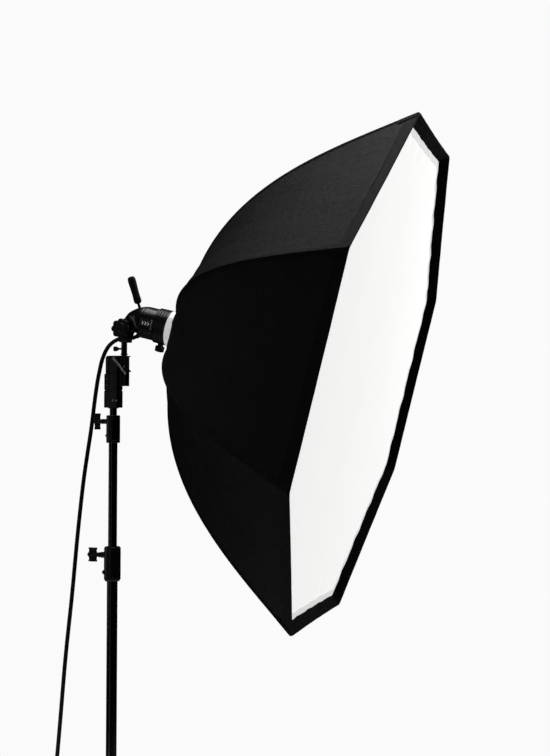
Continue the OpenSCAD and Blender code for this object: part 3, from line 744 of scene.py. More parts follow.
def build_shell():
    s0, s1 = s_of(T_HEM - 0.006), s_of(1.0)
    ts = [t_of(s0 + (s1 - s0) * (i / NV)) for i in range(NV + 1)]
    per = 8 * NU
    verts, uvs, faces = [], [], []
    for i, t in enumerate(ts):
        for k in range(8):
            for j in range(NU):
                u = -1 + 2 * j / NU
                verts.append(on_panel(k, t, u))
                x, r = prof(t)
                uvs.append(((k * 0.62 + r * S8 * (u + 1) * 0.001), s_of(t) * 0.001))
    for i in range(NV):
        for j in range(per):
            k = (j + 1) % per
            faces.append((i * per + j, i * per + k, (i + 1) * per + k, (i + 1) * per + j))
    ob = add("shell_cloth", verts, faces, ["shell", "lining"], m=AX, sharp=0, uv=uvs, slot="black_fabric")
    bm = bmesh.new()
    bm.from_mesh(ob.data)
    c = Vector(tf(AX, [(0, 0, 500)])[0] * 0.001)
    f = min(bm.faces, key=lambda q: (q.calc_center_median() - c).length)
    if f.normal.dot(f.calc_center_median() - c) < 0:
        bmesh.ops.reverse_faces(bm, faces=bm.faces)
    bm.to_mesh(ob.data)
    bm.free()
    so = ob.modifiers.new("cloth", "SOLIDIFY")
    so.thickness = 0.0012
    so.offset = -1
    so.use_quality_normals = True
    so.material_offset = 1
    so.material_offset_rim = 0
    area = sum(p.area for p in ob.data.polygons)
    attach(ob, "softbox")
    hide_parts("outer_shell")
    return ob, area


shell, shell_area = build_shell()


def strip(points_rows, closed_row=False):
    """Faces over rows of points."""
    n = len(points_rows[0])
    verts = [p for r in points_rows for p in r]
    faces = []
    for i in range(len(points_rows) - 1):
        for j in range(n if closed_row else n - 1):
            k = (j + 1) % n
            faces.append((i * n + j, i * n + k, (i + 1) * n + k, (i + 1) * n + j))
    return verts, faces


def stitches(line, normals, pitch=5.0, length=3.1, rad=0.32, lift=0.15):
    """A row of short thread stitches along a line: each a small bead-ended prism."""
    p = np.asarray(line, float)
    nn = np.asarray(normals, float)
    d = np.concatenate([[0], np.cumsum(np.linalg.norm(np.diff(p, axis=0), axis=1))])
    verts, faces = [], []
    for s in np.arange(pitch / 2, d[-1] - length, pitch):
        a = np.array([np.interp(s, d, p[:, i]) for i in range(3)])
        b = np.array([np.interp(s + length, d, p[:, i]) for i in range(3)])
        n = np.array([np.interp(s, d, nn[:, i]) for i in range(3)])
        n /= np.linalg.norm(n)
        w = (b - a) / np.linalg.norm(b - a)
        q = np.cross(n, w)
        k = len(verts)
        for f, h in ((0.0, -0.1), (0.18, 1.0), (0.82, 1.0), (1.0, -0.1)):
            c = a + (b - a) * f + n * (lift + rad * h * 0.7)
            for x, y in ((1, 0), (0, 1), (-1, 0), (0, -1)):
                g = rad * (0.75 if h < 0 else 1.0)
                verts.append(tuple(c + q * x * g + n * y * g))
        faces.append((k, k + 1, k + 2, k + 3))
        for r in range(3):
            for j in range(4):
                j2 = (j + 1) % 4
                faces.append((k + r * 4 + j, k + r * 4 + j2, k + (r + 1) * 4 + j2, k + (r + 1) * 4 + j))
        faces.append((k + 12, k + 13, k + 14, k + 15))
    return verts, faces


def build_seams():
    tapes, rows = [], []
    ts = [t_of(s) for s in np.linspace(s_of(T_HEM + 0.001), s_of(0.988), 90)]
    # cross-section over the seam: [lift, side]; a flat tape with a corded ridge down its middle
    sec = [(0.25, -7.2), (0.85, -6.8), (0.95, -3.2), (1.1, -2.0), (2.3, -1.3), (2.9, 0.0), (2.3, 1.3),
           (1.1, 2.0), (0.95, 3.2), (0.85, 6.8), (0.25, 7.2), (-0.2, 4.0), (-0.3, 0.0), (-0.2, -4.0)]
    uvs = []
    for c in range(8):
        rings = []
        for i, t in enumerate(ts):
            w = 0.25 * nz(c * 9.1, i * 0.35, 2.0)
            rings.append([at_corner(c, t, a * (1 + 0.08 * w) + 0.1, b + w) for a, b in sec])
            uvs += [(c * 0.05 + b * 0.001, s_of(t) * 0.001) for a, b in sec]
        tapes.append(loft(rings))
        for side in (-5.0, 5.0):
            line = [at_corner(c, t, 1.0, side) for t in ts]
            a = math.radians(22.5 + 45 * c)
            nn = []
            for t in ts:
                na, no = nrm2(t)
                nn.append((no * math.cos(a), no * math.sin(a), na))
            rows.append(stitches(line, nn, 5.0, 3.2, 0.34, 0.05))
    v, f = merge(*tapes)
    tape = add("seam_tape", v, f, "tape", "softbox", AX, 40, uv=uvs, slot="tape", nodes=["seam_binding"])
    v, f = merge(*rows)
    th = add("seam_stitches", v, f, "thread", "softbox", AX, 0, slot="tape")
    box_uv(th)
    return tape


seam = build_seams()


def ring_pts(r, x, n=44, pull=3.0, wave=0.0, seed=0.0, out=0.0):
    """Octagon of corner radius r at axial x, its sides drawn in by pull mm at their middles."""
    pts = []
    for k in range(8):
        a = math.radians(45 * k)
        ca, sa = math.cos(a), math.sin(a)
        for j in range(n):
            u = -1 + 2 * j / n
            o = r * C8 - pull * (1 - u * u) + wave * nz(u * 7 + k * 11, seed, 1.0)
            l = r * S8 * u
            # soften the corner itself over the last few millimetres
            e = 1 - abs(u)
            o -= 2.2 * math.exp(-e * r * S8 / 5.0)
            xx = x + wave * 0.8 * nz(u * 5 + k * 7, seed, 9.0)
            pts.append((o * ca - l * sa, o * sa + l * ca, xx))
    return pts


def build_hem():
    """Folded edge in front of the stitch line: cloth outside, velvet inside, a soft rolled rim."""
    (xh, rh) = prof(T_HEM)
    sec = []      # (axial, corner radius, outside?)
    na, no = nrm2(T_HEM)
    sec.append((xh - 1.0, rh + 0.4))
    for f in (0.0, 0.12, 0.14, 0.3, 0.5, 0.7, 0.9):
        t = T_HEM * (1 - f)
        sec.append((prof(t, 0.9)[0], prof(t, 0.9)[1]))
    sec += [(829.0, RIM + 0.9), (830.4, RIM + 0.2), (831.0, RIM - 1.2), (830.9, RIM - 2.6), (829.8, RIM - 3.9)]
    k_out = len(sec) - 2
    for f in (0.1, 0.3, 0.5, 0.7, 0.88, 1.0):
        t = T_HEM * f
        x, r = prof(t, -3.6)
        sec.append((x - 1.2 * (1 - f), r - 0.8))
    sec += [(xh - 1.0, rh - 4.2)]
    n = 44
    rings = [ring_pts(r, x, n, 3.0, 0.5, 3.3) for x, r in sec]
    per = 8 * n
    verts = [p for g in rings for p in g]
    faces, fm, uvs = [], [], []
    d = 0.0
    for i, (x, r) in enumerate(sec):
        if i:
            d += math.hypot(x - sec[i - 1][0], r - sec[i - 1][1])
        for j in range(per):
            uvs.append((j * 0.0141, d * 0.001))
    m = len(sec)
    for i in range(m):
        i2 = (i + 1) % m
        for j in range(per):
            j2 = (j + 1) % per
            faces.append((i * per + j, i * per + j2, i2 * per + j2, i2 * per + j))
            fm.append(0 if i < k_out else 1)
    ob = add("rim_hem", verts, faces, ["hem", "velvet"], "softbox", AX, 50, face_mats=fm, uv=uvs,
             slot="black_fabric", nodes=["front_hem"])
    # two stitch rows along the hem's back edge
    rows = []
    for f, lift in ((0.10, 1.5), (0.24, 1.5)):
        t = T_HEM * (1 - f)
        x, r = prof(t, 0.9)
        loop = ring_pts(r, x, n, 3.0, 0.5, 3.3)
        loop.append(loop[0])
        nn = []
        for k in range(8):
            a = math.radians(45 * k)
            nn += [(no * math.cos(a), no * math.sin(a), na)] * n
        nn.append(nn[0])
        rows.append(stitches(loop, nn, 5.0, 3.2, 0.36, 0.1))
    v, f = merge(*rows)
    box_uv(add("hem_stitches", v, f, "thread", "softbox", AX, 0, slot="tape"))
    return ob


hem = build_hem()


def build_corner_pockets():
    """Webbing caps over the rod ends, sewn to the rim at each corner."""
    parts, rows = [], []
    for c in range(8):
        rings = []
        ts = [t_of(s) for s in np.linspace(s_of(0.004), s_of(0.075), 12)]
        for i, t in enumerate(ts):
            w = 17.0 if 0 < i < len(ts) - 1 else 16.2
            lift = 2.0 if 0 < i < len(ts) - 1 else 1.5
            sec = [(1.2, -w), (lift, -w + 0.8), (lift + 0.3, -w * 0.5), (lift + 1.4, 0), (lift + 0.3, w * 0.5),
                   (lift, w - 0.8), (1.2, w), (0.8, 0)]
            rings.append([at_corner(c, t, a, b) for a, b in sec])
        parts.append(loft(rings))
        a = math.radians(22.5 + 45 * c)
        for side in (-13.5, 13.5):
            line = [at_corner(c, t, 2.1, side) for t in ts[1:-1]]
            nn = []
            for t in ts[1:-1]:
                na, no = nrm2(t)
                nn.append((no * math.cos(a), no * math.sin(a), na))
            rows.append(stitches(line, nn, 4.0, 2.7, 0.36, 0.1))
        for t in (ts[2], ts[-3]):
            na, no = nrm2(t)
            line = [at_corner(c, t, 2.1 + 1.0 * (1 - abs(s) / 13.0), s) for s in np.linspace(-13, 13, 9)]
            rows.append(stitches(line, [(no * math.cos(a), no * math.sin(a), na)] * 9, 4.0, 2.7, 0.36, 0.1))
    v, f = merge(*parts)
    box_uv(add("corner_pockets", v, f, "tape", "softbox", AX, 40, slot="tape"))
    v, f = merge(*rows)
    box_uv(add("pocket_stitches", v, f, "thread", "softbox", AX, 0, slot="tape"))


build_corner_pockets()


def build_diffuser():
    """The recessed front sheet: taut in its middle, with long soft folds and a gathered, banded edge."""
    n = 36
    per = 8 * n
    R0 = 785.0
    rows, uvs = [], []
    # spend more rings near the edge
    ss = sorted(set([round(s, 5) for s in np.concatenate([np.linspace(0.03, 0.9, 36), np.linspace(0.905, 1.0, 26)])]))
    for s in ss:
        row = []
        for k in range(8):
            a = math.radians(45 * k)
            ca, sa = math.cos(a), math.sin(a)
            for j in range(n):
                u = -1 + 2 * j / n
                o = R0 * C8 * s - 3.0 * (1 - u * u) * s ** 4
                l = R0 * S8 * u * s
                x, y = o * ca - l * sa, o * sa + l * ca
                z = diffuser_z(x, y, s, k, u)
                row.append((x, y, z))
                uvs.append((x * 0.001, y * 0.001))
        rows.append(row)
    verts = [(0, 0, diffuser_z(0, 0, 0, 0, 0))] + [p for r in rows for p in r]
    uvs = [(0, 0)] + uvs
    faces, fm = [], []
    for j in range(per):
        faces.append((0, 1 + j, 1 + (j + 1) % per))
        fm.append(0)
    for i in range(len(rows) - 1):
        for j in range(per):
            k = (j + 1) % per
            faces.append((1 + i * per + j, 1 + i * per + k, 1 + (i + 1) * per + k, 1 + (i + 1) * per + j))
            fm.append(1 if ss[i] > 0.966 else 0)
    ob = add("diffuser_sheet", verts, faces, ["white", "white_band"], m=AX, sharp=0, face_mats=fm, uv=uvs,
             slot="white_fabric")
    so = ob.modifiers.new("cloth", "SOLIDIFY")
    so.thickness = 0.0008
    so.offset = 0
    area = sum(p.area for p in ob.data.polygons)
    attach(ob, "softbox")
    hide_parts("front_diffuser")
    # the sewn edge of its hook-and-loop band
    loop, nn = [], []
    for k in range(8):
        a = math.radians(45 * k)
        ca, sa = math.cos(a), math.sin(a)
        for j in range(n):
            u = -1 + 2 * j / n
            s = 0.966
            o = R0 * C8 * s - 3.0 * (1 - u * u) * s ** 4
            l = R0 * S8 * u * s
            x, y = o * ca - l * sa, o * sa + l * ca
            loop.append((x, y, diffuser_z(x, y, s, k, u) + 0.45))
            nn.append((0, 0, 1))
    loop.append(loop[0])
    nn.append(nn[0])
    v, f = stitches(loop, nn, 5.0, 3.0, 0.3, 0.05)
    box_uv(add("diffuser_stitches", v, f, "white_band", "softbox", AX, 0, slot="white_fabric"))
    return ob, area


def diffuser_z(x, y, s, k, u):
    """Axial place of the front sheet. In this frame +x is down the sheet and y runs across it."""
    z = 801.0
    mid = 1 - s ** 3
    # folds that fall down the sheet, a little fanned
    yy = y / 1000.0
    xx = x / 1000.0
    z += mid * (2.2 * math.sin(9.5 * yy + 0.9 * math.sin(2.2 * xx) + 0.6) + 1.5 * math.sin(17.0 * yy + 1.4 * xx + 2.0)
                + 1.6 * nz(yy * 3.1, xx * 0.9, 5.0))
    z -= 3.0 * (1 - s * s)            # hangs slightly hollow
    # ripples where the edge band gathers it
    e = max(0.0, (s - 0.80) / 0.20)
    g = e ** 1.5 * (1 - max(0.0, (s - 0.955) / 0.045) * 0.55)
    z += g * (2.3 * math.sin(u * 15.0 + k * 1.9) + 1.5 * math.sin(u * 27.0 + k * 2.7 + 1.0)) * (1 - abs(u) ** 8)
    return z


diffuser, diff_area = build_diffuser()


def build_inner():
    """Inner diffuser: a smaller sheet on eight elastic straps."""
    n = 20
    R1 = 470.0
    per = 8 * n
    ss = [0.05, 0.15, 0.3, 0.45, 0.6, 0.75, 0.87, 0.94, 0.97, 1.0]
    verts, uvs, faces, fm = [(0, 0, 516)], [(0, 0)], [], []
    for s in ss:
        for k in range(8):
            a = math.radians(45 * k)
            ca, sa = math.cos(a), math.sin(a)
            for j in range(n):
                u = -1 + 2 * j / n
                o = R1 * C8 * s - 14 * (1 - u * u) * s ** 3
                l = R1 * S8 * u * s
                x, y = o * ca - l * sa, o * sa + l * ca
                verts.append((x, y, 521 - 5 * (1 - s * s) + 1.5 * nz(x * 0.008, y * 0.008, 3.0)))
                uvs.append((x * 0.001, y * 0.001))
    for j in range(per):
        faces.append((0, 1 + j, 1 + (j + 1) % per))
        fm.append(0)
    for i in range(len(ss) - 1):
        for j in range(per):
            k = (j + 1) % per
            faces.append((1 + i * per + j, 1 + i * per + k, 1 + (i + 1) * per + k, 1 + (i + 1) * per + j))
            fm.append(1 if ss[i] > 0.93 else 0)
    ob = add("inner_sheet", verts, faces, ["white", "white_band"], m=AX, sharp=0, face_mats=fm, uv=uvs,
             slot="white_fabric")
    so = ob.modifiers.new("cloth", "SOLIDIFY")
    so.thickness = 0.0008
    so.offset = 0
    area = sum(p.area for p in ob.data.polygons)
    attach(ob, "softbox")
    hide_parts("inner_diffuser")
    parts = []
    for c in range(8):
        a = math.radians(22.5 + 45 * c)
        ca, sa = math.cos(a), math.sin(a)
        rings = []
        for i in range(9):
            r = 464 + (586 - 464) * i / 8
            z = 521.6 + 2.0 * math.sin(math.pi * i / 8)
            w, h = 8.0, 0.6
            rings.append([(r * ca - l * sa, r * sa + l * ca, z + hh) for l, hh in ((-w, -h), (w, -h), (w, h), (-w, h))])
        parts.append(loft(rings))
        # buckle
        rings = []
        for zz, g in ((-2.0, 0.9), (-2.6, 0.97), (3.2, 0.97), (3.6, 0.9)):
            rings.append([((510 + p[0] * g) * ca - p[1] * g * sa, (510 + p[0] * g) * sa + p[1] * g * ca, 523.4 + zz)
                          for p in rrect(16, 22, 3, n=3)])
        parts.append(loft(rings))
    v, f = merge(*parts)
    box_uv(add("inner_straps", v, f, "tape", "softbox", AX, 40, slot="tape", nodes=["baffle_straps"]))
    return ob, area


inner, inner_area = build_inner()


def build_back_collar():
    """Cloth drawn in from the panels' ends to an elastic edge round the silver ring."""
    n = 24
    per = 8 * n
    prof_c = [(0.0, 110.4, 202.5), (0.06, 110.8, 199.0), (0.14, 110.2, 194.0), (0.22, 107.0, 190.6), (0.34, 101.0, 189.2),
              (0.5, 92.0, 188.4), (0.66, 84.0, 188.0), (0.8, 77.0, 187.7), (0.9, 72.2, 187.5), (1.0, 69.2, 188.2)]
    rows, uvs = [], []
    for f, r, x in prof_c:
        row = []
        for k in range(8):
            a = math.radians(45 * k)
            for j in range(n):
                u = -1 + 2 * j / n
                # eight-sided outside, round at the elastic
                lat, o = r * S8 * u, r * C8
                oct_p = np.array((o * math.cos(a) - lat * math.sin(a), o * math.sin(a) + lat * math.cos(a)))
                ang = math.atan2(oct_p[1], oct_p[0])
                rd = np.array((math.cos(ang), math.sin(ang))) * r
                w = min(1.0, f * 1.15)
                p = oct_p * (1 - w) + rd * w
                g = math.sin(math.pi * min(1, f * 1.05)) * 0.9 + 0.5 * f
                rip = g * math.sin(ang * 34 + 1.5 * math.sin(ang * 5))
                row.append((p[0], p[1], x - abs(rip) * 0.8 - 0.6 * f))
                uvs.append((ang * 0.09, f * 0.045))
        rows.append(row)
    v, f = strip(rows, True)
    ob = add("back_collar_cloth", v, f, "hem", m=AX, sharp=0, uv=uvs, slot="black_fabric")
    so = ob.modifiers.new("cloth", "SOLIDIFY")
    so.thickness = 0.0011
    so.offset = 0
    area = sum(p.area for p in ob.data.polygons)
    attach(ob, "softbox")
    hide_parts("back_collar")
    v, f = lathe([(69.2 + 1.9 * math.cos(a), 187.9 + 1.9 * math.sin(a)) for a in (2 * math.pi * i / 12 for i in range(12))], 128, True)
    v = [(x * (1 + 0.006 * math.sin(math.atan2(y, x) * 40)), y * (1 + 0.006 * math.sin(math.atan2(y, x) * 40)), z) for x, y, z in v]
    e = add("collar_elastic", v, f, "hem", "softbox", AX, 0, slot="black_fabric")
    box_uv(e)
    return ob, area, e


collar_cloth, collar_area, elastic = build_back_collar()

# ------------------------------------------------------------------ cord's plug and gland
def build_connector():
    m = ST @ T(-488, 70.5, 16) @ R("Y", -90)
    body = lathe([(6.4, 0), (8.3, 0.3), (9.6, 8), (10.1, 16), (12.4, 17.6), (14.6, 20), (15.6, 22.4), (15.9, 26),
                  (15.9, 34), (15.1, 34.8), (15.1, 36.4), (15.9, 37.2), (15.9, 58), (15.4, 60.4), (14.4, 61.8),
                  (14.4, 73), (13.9, 74), (12.7, 74), (12.4, 73), (12.4, 64.2), (0, 64.2)], 64, r=0.5, seg=3)
    ribs = []
    for z in (2.4, 5.2, 8.0, 10.8, 13.6):
        r = 8.6 + z * 0.1
        ribs.append(moved(lathe([(r - 0.6, 0), (r + 0.5, 0.3), (r + 0.5, 1.1), (r - 0.6, 1.4)], 48), T(0, 0, z)))
    for i in range(16):
        a = 22.5 * i
        ribs.append(moved(slab(rrect(3.0, 1.8, 0.8, 0, 0, 3), 0, 18, 0.5), R("Z", a) @ T(15.6, 0, 38.8)))
    pins = []
    for i in range(5):
        a = math.radians(72 * i + 18)
        pins.append(moved(lathe([(0, 0), (1.3, 0), (1.3, 7), (0.7, 8), (0, 8)], 20), T(7.2 * math.cos(a), 7.2 * math.sin(a), 64)))
    v, f = merge(body, *ribs)
    a = add("connector_body", v, f, "plastic", "stand_base", m, 40, slot="black_plastic", nodes=["pack_connector"])
    v, f = merge(*pins)
    b = add("connector_pins", v, f, "zinc", "stand_base", m, 40, slot="black_plastic")
    return [a, b]


conn = build_connector()


def build_gland():
    body = lathe([(0, -5.9), (9, -5.9), (9, 7.6), (10.4, 8.2), (11, 8.8), (11, 11.4), (10.4, 12), (8.6, 12.8),
                  (8.3, 14), (7.7, 15), (8.1, 15.6), (7.5, 17.4), (7.9, 18), (7.2, 20), (7.5, 20.6), (6.9, 23), (6.3, 24), (5.7, 24)], 64, r=0.3)
    flats = moved(slab([(11.6 * math.cos(math.radians(60 * i)), 11.6 * math.sin(math.radians(60 * i))) for i in range(6)], 8.4, 11.9, 0.6), T(0, 0, 0))
    v, f = merge(body, flats)
    return add("gland_boot", v, f, "rubber", "flash_head", GL, 40, slot="rubber", nodes=["cable_gland"])


build_gland()

for k, (ob, path, L) in enumerate(cords):
    last = k == len(cords) - 1
    if last:
        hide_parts("power_cable")
        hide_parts("cable_coil")

print("AREAS", shell_area, diff_area, inner_area, collar_area)

# ------------------------------------------------------------------ flash head
def build_housing():
    """Cranked rear housing: a swept oval trunk that narrows to the tilt lug, with a parting line and a rib."""
    tr = [(64, 38, 0, 50.5, 50.5), (54, 37.5, 6, 48, 49.5), (44, 36, 13, 44, 46), (33, 31.5, 24, 39.5, 39),
          (24, 26, 35, 35, 30), (17, 19, 46, 30, 13.8), (10, 12, 57, 26.5, 13.8), (4, 4, 70, 23, 13.8), (1, -6, 82, 20, 13.8)]
    a = np.array(tr, float)
    s = np.linspace(0, len(tr) - 1, 61)
    g = np.stack([np.interp(s, np.arange(len(tr)), a[:, i]) for i in range(5)], 1)
    k = np.array([1, 3, 4, 3, 1]) / 12.0
    for _ in range(2):
        q = g.copy()
        for i in range(5):
            q[2:-2, i] = sum(k[j] * g[j:len(g) - 4 + j, i] for j in range(5))
        g = q
    rings = []
    n = 72
    for i, (x, z, sl, hh, hw) in enumerate(g):
        f = i / (len(g) - 1)
        band = 1.0
        if 0.0 < f < 0.045:
            band = 0.985
        if 0.045 <= f < 0.075:
            band = 1.006
        ring = []
        for j in range(n):
            p = 2 * math.pi * j / n
            cy, sy = math.cos(p), math.sin(p)
            e = 2.0 + 1.4 * min(1, max(0, (f - 0.35) / 0.4))
            r = (abs(cy) ** e + abs(sy) ** e) ** (-1 / e)
            seam = 0.992 if abs(cy) < 0.02 else 1.0
            c, w = cy * r * hh * band * seam * 0.992, sy * r * hw * band * seam * 0.992
            ring.append((x - math.sin(math.radians(sl)) * c, w, z + math.cos(math.radians(sl)) * c))
        rings.append(ring)
    # the casting is scooped away where the fork's cheeks and the tilt knob turn
    def scooped(p):
        dx, dz = p[0] - 3.9, p[2] - 1.0
        d = math.hypot(dx, dz)
        need = 33.8 if p[1] < -24.4 else (25.9 if abs(p[1]) > 14.0 else 0.0)
        if d >= need or d < 1e-6:
            return p
        return (3.9 + dx * need / d, p[1], 1.0 + dz * need / d)
    trunk = loft([[scooped(p) for p in ring] for ring in rings])
    lug = moved(lathe([(5.1, -13.9), (22.6, -13.9), (24, -12.5), (24, 12.5), (22.6, 13.9), (5.1, 13.9)], 80, True),
                T(3.9, 0, 1) @ R("X", 90))
    # two small raised round bosses on the flanks
    extra = []
    for s_ in (-1, 1):
        extra.append(moved(lathe([(0, 0), (1.8, 0), (1.8, 0.5), (1.4, 0.9), (0, 0.9)], 24), T(40, s_ * 42.0, 52) @ R("X", -90 * s_)))
    v, f = merge(trunk, lug, *extra)
    ob = add("housing_casting", v, f, "housing", "flash_head", HD, 38, slot="head_shell", nodes=["rear_housing"])
    return ob


build_housing()


def build_barrel():
    pr = [(30, 64.3), (49.6, 64.3), (50.9, 65.2), (50.9, 68), (50.2, 68.6), (50.2, 70.2), (50.9, 70.8), (50.9, 80.5),
          (50.3, 81.1), (50.3, 82.5), (50.9, 83.1), (50.9, 104), (50.9, 181), (50.2, 182), (48.5, 182), (48.5, 68), (30, 68)]
    v, f = lathe(pr, 128, True)
    body = (v, f)
    add("barrel_shell", v, f, "housing", "flash_head", AX, 35, slot="black_casting", nodes=["head_barrel"])
    # zoom scale: plain ticks with a few longer ones, and small chevrons as an index
    marks = []

    def patch(a0, a1, z0, z1, lift=0.14):
        m = max(2, int(abs(a1 - a0) / 1.2) + 1)
        r = 50.9 + lift
        ring = []
        for i in range(m):
            a = math.radians(a0 + (a1 - a0) * i / (m - 1))
            ring.append([((r + h) * math.cos(a), (r + h) * math.sin(a), z) for z, h in ((z0, -0.3), (z0, 0), (z1, 0), (z1, -0.3))])
        return loft(ring)
    base = 270
    for i in range(-4, 5):
        L = 3.4 if i % 4 == 0 else 2.0
        a = base + i * 4.2 + 3
        marks.append(patch(a - 0.35, a + 0.35, 104.4 - L, 104.4))
    for i in range(3):
        z = 72.5 + i * 9.2
        for s_ in (-1, 1):
            rings = []
            for t in (0, 0.5, 1):
                aa = math.radians(base + 3 + s_ * (0.0 + 5.6 * t))
                zz = z + 4.2 * (1 - t)
                r = 51.04
                w = 1.0
                rings.append([((r + h) * math.cos(aa), (r + h) * math.sin(aa), zz + o) for o, h in ((-w, -0.3), (-w, 0), (w, 0), (w, -0.3))])
            marks.append(loft(rings))
    v, f = merge(*marks)
    add("barrel_scale", v, f, "mark", "flash_head", AX, 0, slot="lamp_glass")
    # vents on the barrel's upper side: a row of shallow slots with dark floors
    slots = []
    for i in range(9):
        a = 90 + 90 + (i - 4) * 7.5
        m = R("Z", a) @ T(50.6, 0, 94) @ R("Y", 90)
        slots.append(moved(slab(rrect(15, 2.6, 1.25, n=4), -0.2, 0.55, 0.2, 2), m))
    v, f = merge(*slots)
    add("barrel_vents", v, f, "rubber", "flash_head", AX, 38, slot="black_casting")


build_barrel()


def build_ribbed():
    pr = [(51.05, 107.2)]
    pr += [(53.6, 107), (55.2, 108.4), (55.5, 109.5), (55.5, 113.6), (54.9, 114.4), (53.4, 114.9), (53.4, 117.2), (54.2, 117.7)]
    for z in (118, 127, 136):
        pr += [(55.4, z + 0.1), (56.0, z + 0.9), (56.0, z + 4.1), (55.4, z + 4.9), (53.5, z + 5.6), (53.5, z + 8.2 if z < 136 else z + 7.6)]
    pr += [(56.0, 144.8), (56.5, 145.6), (56.5, 151.2), (56.0, 151.85), (51.05, 151.85)]
    v, f = lathe(pr, 144, True)
    # fine grip serrations on the three ribs
    q = []
    for x, y, z in v:
        r = math.hypot(x, y)
        a = math.atan2(y, x)
        if r > 55.3 and (118 <= z <= 141.5):
            k = 0.5 if math.sin(a * 36) > 0 else 0.0
            x, y = x * (r - k) / r, y * (r - k) / r
        q.append((x, y, z))
    add("collar_ribs", q, f, "cast", "ring_adapter", AX, 30, slot="black_casting", nodes=["ribbed_collar"])
    # boss that the clamp screw passes through
    boss = moved(lathe([(4.1, 52.5), (9.4, 52.5), (9.4, 57.2), (8.6, 57.9), (4.1, 57.9)], 40, True), T(0, 0, 131) @ R("Y", 90))
    add("collar_boss", *boss, "cast", "ring_adapter", AX, 35, slot="black_casting")


build_ribbed()


def build_adapter():
    pr = [(51.1, 152.0), (56.6, 152.0), (57.6, 152.5), (58.6, 153.6), (59.3, 155), (59.6, 160), (61.0, 172), (63.0, 179.5), (65.6, 186.2),
          (66.0, 187.4), (66.0, 189.2), (65.4, 189.9), (59.95, 190), (59.95, 210.4), (63.0, 210.8), (63.5, 211.3), (63.5, 212.6), (63.0, 213), (51.1, 213)]
    v, f = lathe(pr, 160, True)
    add("adapter_casting", v, f, "silver", "ring_adapter", AX, 30, slot="silver_ring", nodes=["adapter_ring"])
    # three countersunk screws that hold the ring to its collar
    hs = []
    for a in (60, 180, 300):
        m = R("Z", a) @ T(59.7, 0, 163) @ R("Y", 83)
        hs.append(screw_head(2.4, 0.5, m))
    v, f = merge(*hs)
    add("adapter_screws", v, f, "zinc", "ring_adapter", AX, 35, slot="silver_ring")


build_adapter()


def fluted(r, h, lobes, depth, bevel, n=144, z0=0.0, dish=0.0, dish_r=0.6, power=1.0):
    """A hand knob along z with rounded lobes and softened rims."""
    prof_z = []
    for k in range(5):
        a = math.pi / 2 * k / 4
        prof_z.append((1 - (1 - math.sin(a)) * bevel / r, z0 + bevel * (1 - math.cos(a))))
    for k in range(5):
        a = math.pi / 2 * (1 - k / 4)
        prof_z.append((1 - (1 - math.sin(a)) * bevel / r, z0 + h - bevel * (1 - math.cos(a))))
    rings = []
    for s, z in prof_z:
        ring = []
        for i in range(n):
            a = 2 * math.pi * i / n
            c = (0.5 + 0.5 * math.cos(lobes * a)) ** power
            rr = (r - depth * (1 - c)) * s
            ring.append((rr * math.cos(a), rr * math.sin(a), z))
        rings.append(ring)
    if dish:
        for q, dz in ((dish_r, 0.0), (dish_r * 0.93, -dish * 0.8), (dish_r * 0.5, -dish)):
            rings.append([(r * q * math.cos(2 * math.pi * i / n), r * q * math.sin(2 * math.pi * i / n), z0 + h + dz) for i in range(n)])
    return loft(rings)


